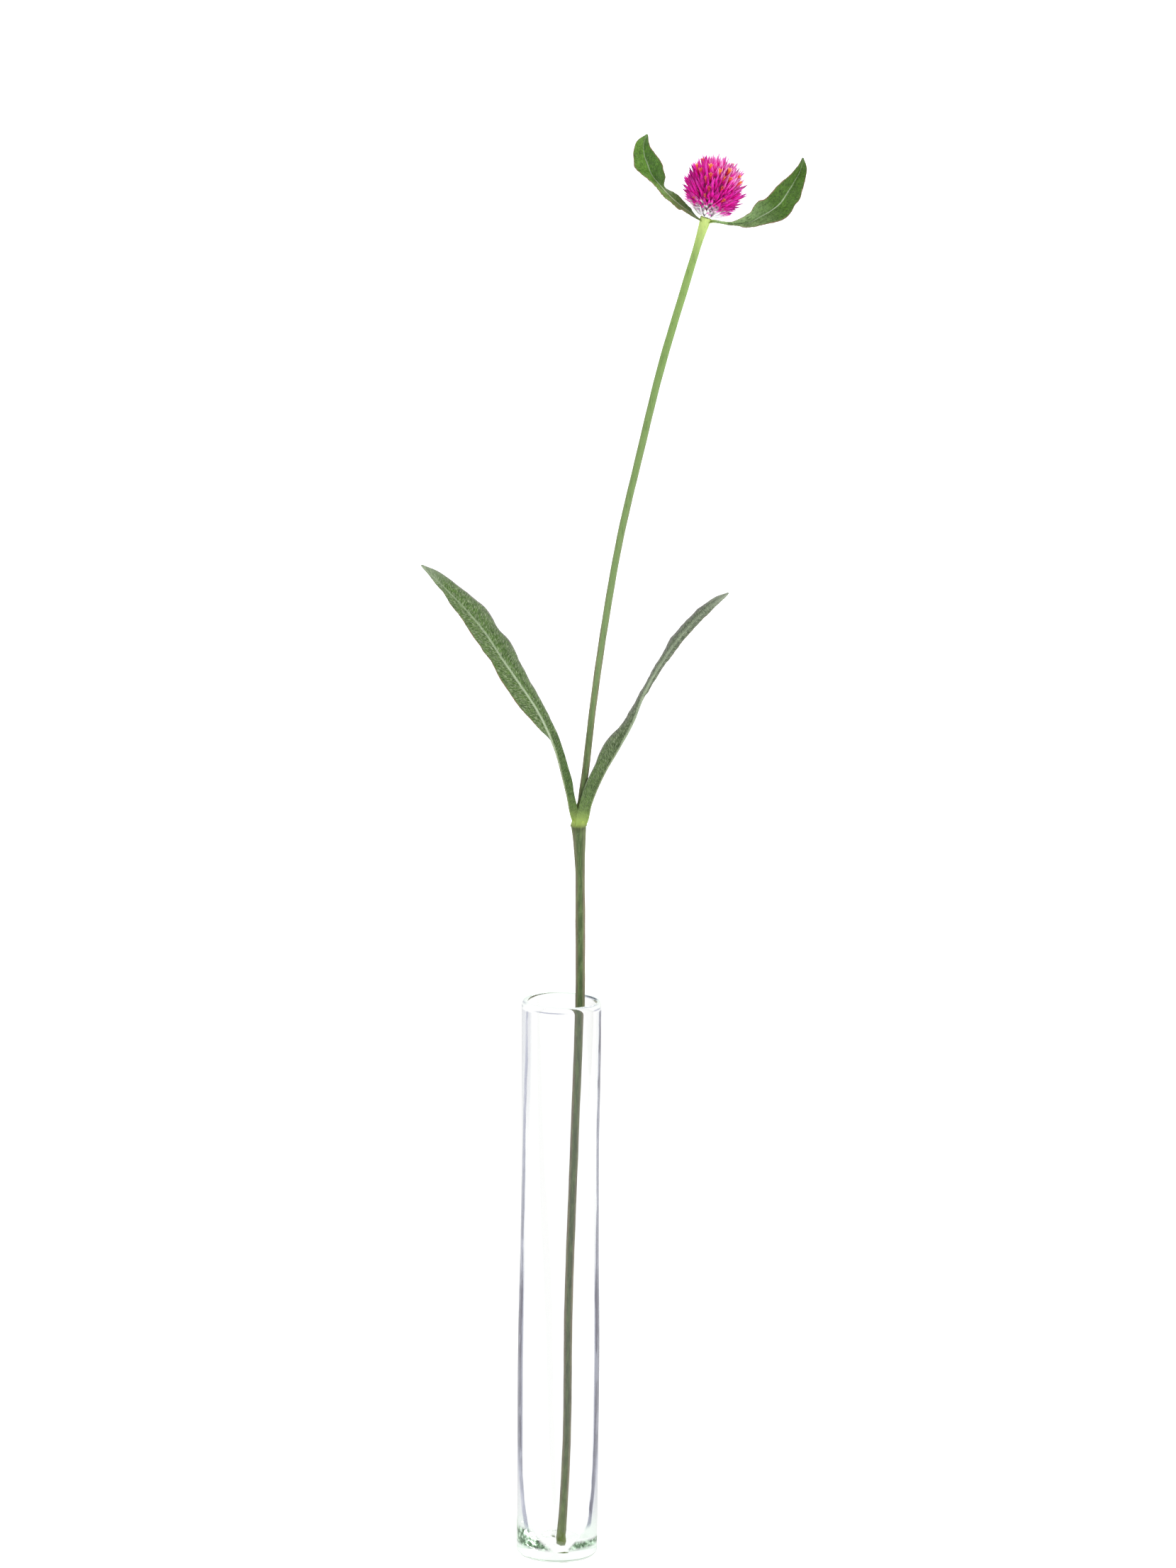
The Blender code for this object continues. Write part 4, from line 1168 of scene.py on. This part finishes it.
def core_surface():
    """Magenta flesh painted dark, partly as painted shade of the depths between bracts, where alone it is
    seen. It turns lime where it meets the stalk.
    """
    made, tree, skin, _ = material_of("core_purple")
    place = own_place(tree)
    spots = noise(place, 900, 4)
    # the flesh's dark magenta is partly painted shade of the depths between bracts
    flesh = ramp(spots, (0.35, (0.2, 0.004, 0.1)), (0.65, (0.45, 0.02, 0.24)))
    lime_foot = colours(mark(tree, "low"), flesh, (0.72, 0.8, 0.42))
    feed(skin, {"Base Color": lime_foot, "Roughness": 0.7})
    return made


def core_points(rows, columns):
    """A globe R (sin p cos a, sin p sin a, cos p).

    Below its middle it narrows by 5 % and drops by f^4 to the stem's top, f from nought at the middle to one.
    """
    p = np.linspace(0, np.pi, rows)[1:-1, None]
    a = 2 * np.pi * np.arange(columns)[None] / columns
    globe = CORE_RADIUS * np.stack([np.sin(p) * np.cos(a), np.sin(p) * np.sin(a), np.cos(p) + 0 * a], -1)
    globe = np.concatenate([globe.reshape(-1, 3), CORE_RADIUS * np.array([[0, 0, 1.0], [0, 0, -1.0]])])
    drop = np.clip(-globe[:, 2] / CORE_RADIUS, 0.0, 1.0)
    globe[:, :2] *= (1 - 0.05 * drop**2)[:, None]
    globe[:, 2] -= drop**4 * (CENTRE_UP - CORE_RADIUS - 0.1)
    return globe


CORE_ROWS, CORE_COLUMNS = 26, 36
body = (CORE_ROWS - 2) * CORE_COLUMNS
flesh = core_points(CORE_ROWS, CORE_COLUMNS)
core = object_of(
    "bloom_core",
    into_place(flesh),
    [
        quads(CORE_ROWS - 2, CORE_COLUMNS, closed=True)[:, ::-1],
        fan(np.arange(CORE_COLUMNS), body),
        fan(body - CORE_COLUMNS + np.arange(CORE_COLUMNS)[::-1], body + 1),
    ],
    core_surface(),
    low=np.clip((-flesh[:, 2] - 9.0) / 1.5, 0, 1),
)
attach(core, "root")


def floret_surface():
    """Waxy orange, yellow at the lobes' ends and red down the tube."""
    made, tree, skin, _ = material_of("floret_orange")
    along = axes(surface_uv(tree))["X"]
    fresh = (
        (0.45, (0.62, 0.03, 0.1)), (0.72, (0.8, 0.16, 0.03)),
        (0.92, (0.95, 0.36, 0.06)), (1, (1, 0.66, 0.28)),
    )
    red = ((0.45, (0.60, 0.02, 0.14)), (0.8, (0.66, 0.04, 0.04)), (1.0, (0.88, 0.22, 0.12)))
    feed(skin, {
        "Base Color": colours(mark(tree, "ripe"), ramp(along, *fresh), ramp(along, *red)),
        "Roughness": 0.38,
        "Subsurface Weight": 0.3,
        "Subsurface Radius": (1.0, 0.4, 0.15),
        "Subsurface Scale": 0.001,
    })
    return made


def florets():
    """Slim tubes that open into five lobes: radius = size r (1 - 0.45 f (1 - lobe)) and
    height = h - 0.11 f (1 - lobe), where lobe = 0.5 + 0.5 cos 5a. Each stands among the bracts of its flower.
    """
    # polar angle and turn in degrees, how far the crown stands past the globe, its size, and how red it is
    spots = np.array([
        (44, 117, 0.5, 1.15, 0), (49, 88, 0.4, 1.15, 0.15), (43, 59, 0.5, 1.15, 0), (55, 156, 0.8, 0.8, 0.3),
        (56, 140, -0.3, 1, 0.9), (61, 107, 0, 1, 0.85), (60, 59, 0, 1.1, 0.75), (81, 75, -0.3, 0.85, 1),
        (87, 102, -0.3, 0.85, 1), (55, 25, 0.6, 0.8, 0.25), (68, 30, 0.9, 0.9, 0.6), (105, 65, 0, 0.75, 0.8),
        (69, 116, -0.2, 0.6, 0.7), (59, 74, -0.2, 0.6, 0.6), (116, 135, -0.2, 0.5, 0.8),
        (103, 107, -0.2, 0.5, 0.8), (40, 200, 0.5, 1.1, 0.1), (47, 240, 0.4, 1.1, 0.2),
        (44, 285, 0.5, 1.1, 0), (58, 310, 0.3, 1, 0.5), (60, 262, 0.1, 1, 0.8), (66, 222, 0.2, 1, 0.7),
        (80, 290, 0, 0.9, 0.9), (84, 245, 0, 0.9, 1), (90, 205, 0, 0.8, 0.8), (76, 335, 0.3, 0.9, 0.6),
        (98, 270, 0, 0.8, 0.9), (30, 330, 0.3, 0.9, 0.2),
    ])
    polar, turn = np.radians(spots[:, 0]), np.radians(spots[:, 1])
    out, tip, rise, _ = bract_lines(polar, turn)
    wide = unit(np.cross(rise, out + 0.01 * UP))
    deep = np.cross(rise, wide)
    top = tip + rise * spots[:, 2:3]
    sides = 20
    a = 2 * np.pi * np.arange(sides) / sides
    # the outside from the foot to the lobes, then back down inside the crown: h, r and f
    steps = np.array([
        (0, 0.3, 0), (0.5, 0.42, 0), (0.72, 0.5, 0.1), (0.86, 0.62, 0.35), (0.95, 0.86, 0.75),
        (0.99, 1.02, 1), (0.955, 0.8, 0.8), (0.88, 0.5, 0.4), (0.8, 0.34, 0.1),
    ])
    lobe = 0.5 + 0.5 * np.cos(5 * a)
    radius = steps[:, 1, None] * (1 - steps[:, 2, None] * 0.45 * (1 - lobe))
    height = steps[:, 0, None] - steps[:, 2, None] * 0.11 * (1 - lobe)
    size = spots[:, 3][:, None, None]
    place = (
        top[:, None, None]
        + ((height - 1) * FLORET_LENGTH)[None, ..., None] * rise[:, None, None]
        + (size * radius[None] * np.cos(a))[..., None] * wide[:, None, None]
        + (size * radius[None] * np.sin(a))[..., None] * deep[:, None, None]
    )
    count, rows = len(spots), len(steps)
    middle = (top + rise * (steps[-1, 0] - 1) * FLORET_LENGTH)[:, None]
    foot = (top - rise * FLORET_LENGTH)[:, None]
    points = np.concatenate([place.reshape(count, -1, 3), middle, foot], axis=1)
    each = rows * sides + 2
    faces = [
        quads(rows, sides, closed=True),
        fan((rows - 1) * sides + np.arange(sides), rows * sides),
        fan(np.arange(sides)[::-1], rows * sides + 1),
    ]
    uv = np.stack(np.broadcast_arrays(height, (a / 2 / np.pi)[None]), -1).reshape(-1, 2)
    uv = np.concatenate([uv, [[0.7, 0.5], [0.0, 0.5]]])
    uv = np.broadcast_to(uv, (count, each, 2))
    return object_of(
        "florets",
        into_place(points.reshape(-1, 3)),
        repeated(faces, each, count),
        floret_surface(),
        uv=uv,
        ripe=np.repeat(spots[:, 4], each),
    )


crowns = florets()
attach(crowns, "root")


# ---- Floor and light ----
# A plain white floor that runs out of sight, a pale sky all round that is brighter behind and to the right,
# and one wide soft lamp above the right shoulder of the vase.
BRIGHT_SIDE = (0.52, 0.50, 0.69)
FLOOR_LEVEL = -0.0002  # just under the vase's foot
FLOOR_SIDES = 96


def thrown_back(rays):
    """One on rays that were thrown back and not let through, unless they were long held, else nought."""
    back = minus(rays["Is Glossy Ray"], rays["Is Transmission Ray"], clamp=True)
    return times(back, maths("LESS_THAN", rays["Glossy Depth"], LONG_HELD))


def floor_white():
    """Matt white with the faintest unevenness. Glass shows it plain white, and mirrors show it dimmer."""
    made, tree, skin, output = material_of("floor_white")
    cloud = noise(own_place(tree), 1.5, 2)
    feed(skin, {
        "Base Color": ramp(cloud, (0.3, 0.93), (0.7, 0.95)),
        "Roughness": 0.6,
        "Specular IOR Level": 0.0,
        "Emission Color": (1.0, 1.0, 1.0, 1.0),
        "Emission Strength": 0.22,
    })
    rays = put(tree, "ShaderNodeLightPath").outputs
    strength = minus(1.1, times(thrown_back(rays), 0.32))
    plain = put(tree, "ShaderNodeEmission", {"Color": (1.0, 1.0, 1.0, 1.0), "Strength": strength}).outputs[0]
    feed(output, {"Surface": shaders(rays["Is Glossy Ray"], skin.outputs[0], plain)})
    return made


a = 2 * np.pi * np.arange(FLOOR_SIDES) / FLOOR_SIDES
reach = np.array([0.5, 1.5, 4.0, 12.0, 40.0])[:, None]
floor_rings = np.stack([reach * np.cos(a), reach * np.sin(a), 0 * reach * a + FLOOR_LEVEL], -1)
floor = object_of(
    "floor",
    np.concatenate([floor_rings.reshape(-1, 3), [[0.0, 0.0, FLOOR_LEVEL]]]),
    [quads(len(reach), FLOOR_SIDES, closed=True)[:, ::-1], fan(np.arange(FLOOR_SIDES), a.size * len(reach))],
    floor_white(),
)

world = bpy.data.worlds.new("pale_room")
world.use_nodes = True
bpy.context.scene.world = world
tree = world.node_tree
tree.nodes.clear()
way = put(tree, "ShaderNodeTexCoord").outputs["Generated"]
feeds = {0: way, 1: BRIGHT_SIDE}
towards = put(tree, "ShaderNodeVectorMath", feeds, operation="DOT_PRODUCT").outputs["Value"]
rays = put(tree, "ShaderNodeLightPath").outputs


def background(colour, strength):
    """The socket of a plain sky."""
    return put(tree, "ShaderNodeBackground", {"Color": (*colour, 1.0), "Strength": strength}).outputs[0]


feeds = {"Value": towards, "From Min": -0.6, "From Max": 1.0, "To Min": 0.66, "To Max": 1.45}
soft = background((0.985, 0.99, 1.0), put(tree, "ShaderNodeMapRange", feeds).outputs[0])
seen = background((1.0, 1.0, 1.0), 1.1)
dimmer = background((0.96, 0.98, 1.0), 0.78)
lit = shaders(rays["Is Glossy Ray"], soft, shaders(thrown_back(rays), seen, dimmer))
put(tree, "ShaderNodeOutputWorld", {"Surface": shaders(rays["Is Camera Ray"], lit, seen)})

lamp = bpy.data.lights.new("wide_lamp", "SUN")
lamp.energy = 1.4
lamp.angle = math.radians(28)
lamp.color = (1.0, 0.985, 0.96)
lamp_object = bpy.data.objects.new("wide_lamp", lamp)
bpy.context.scene.collection.objects.link(lamp_object)
lamp_object.rotation_euler = Vector(BRIGHT_SIDE).to_track_quat("Z", "Y").to_euler()

settings = bpy.context.scene.view_settings
settings.view_transform = "Standard"
settings.look = "None"
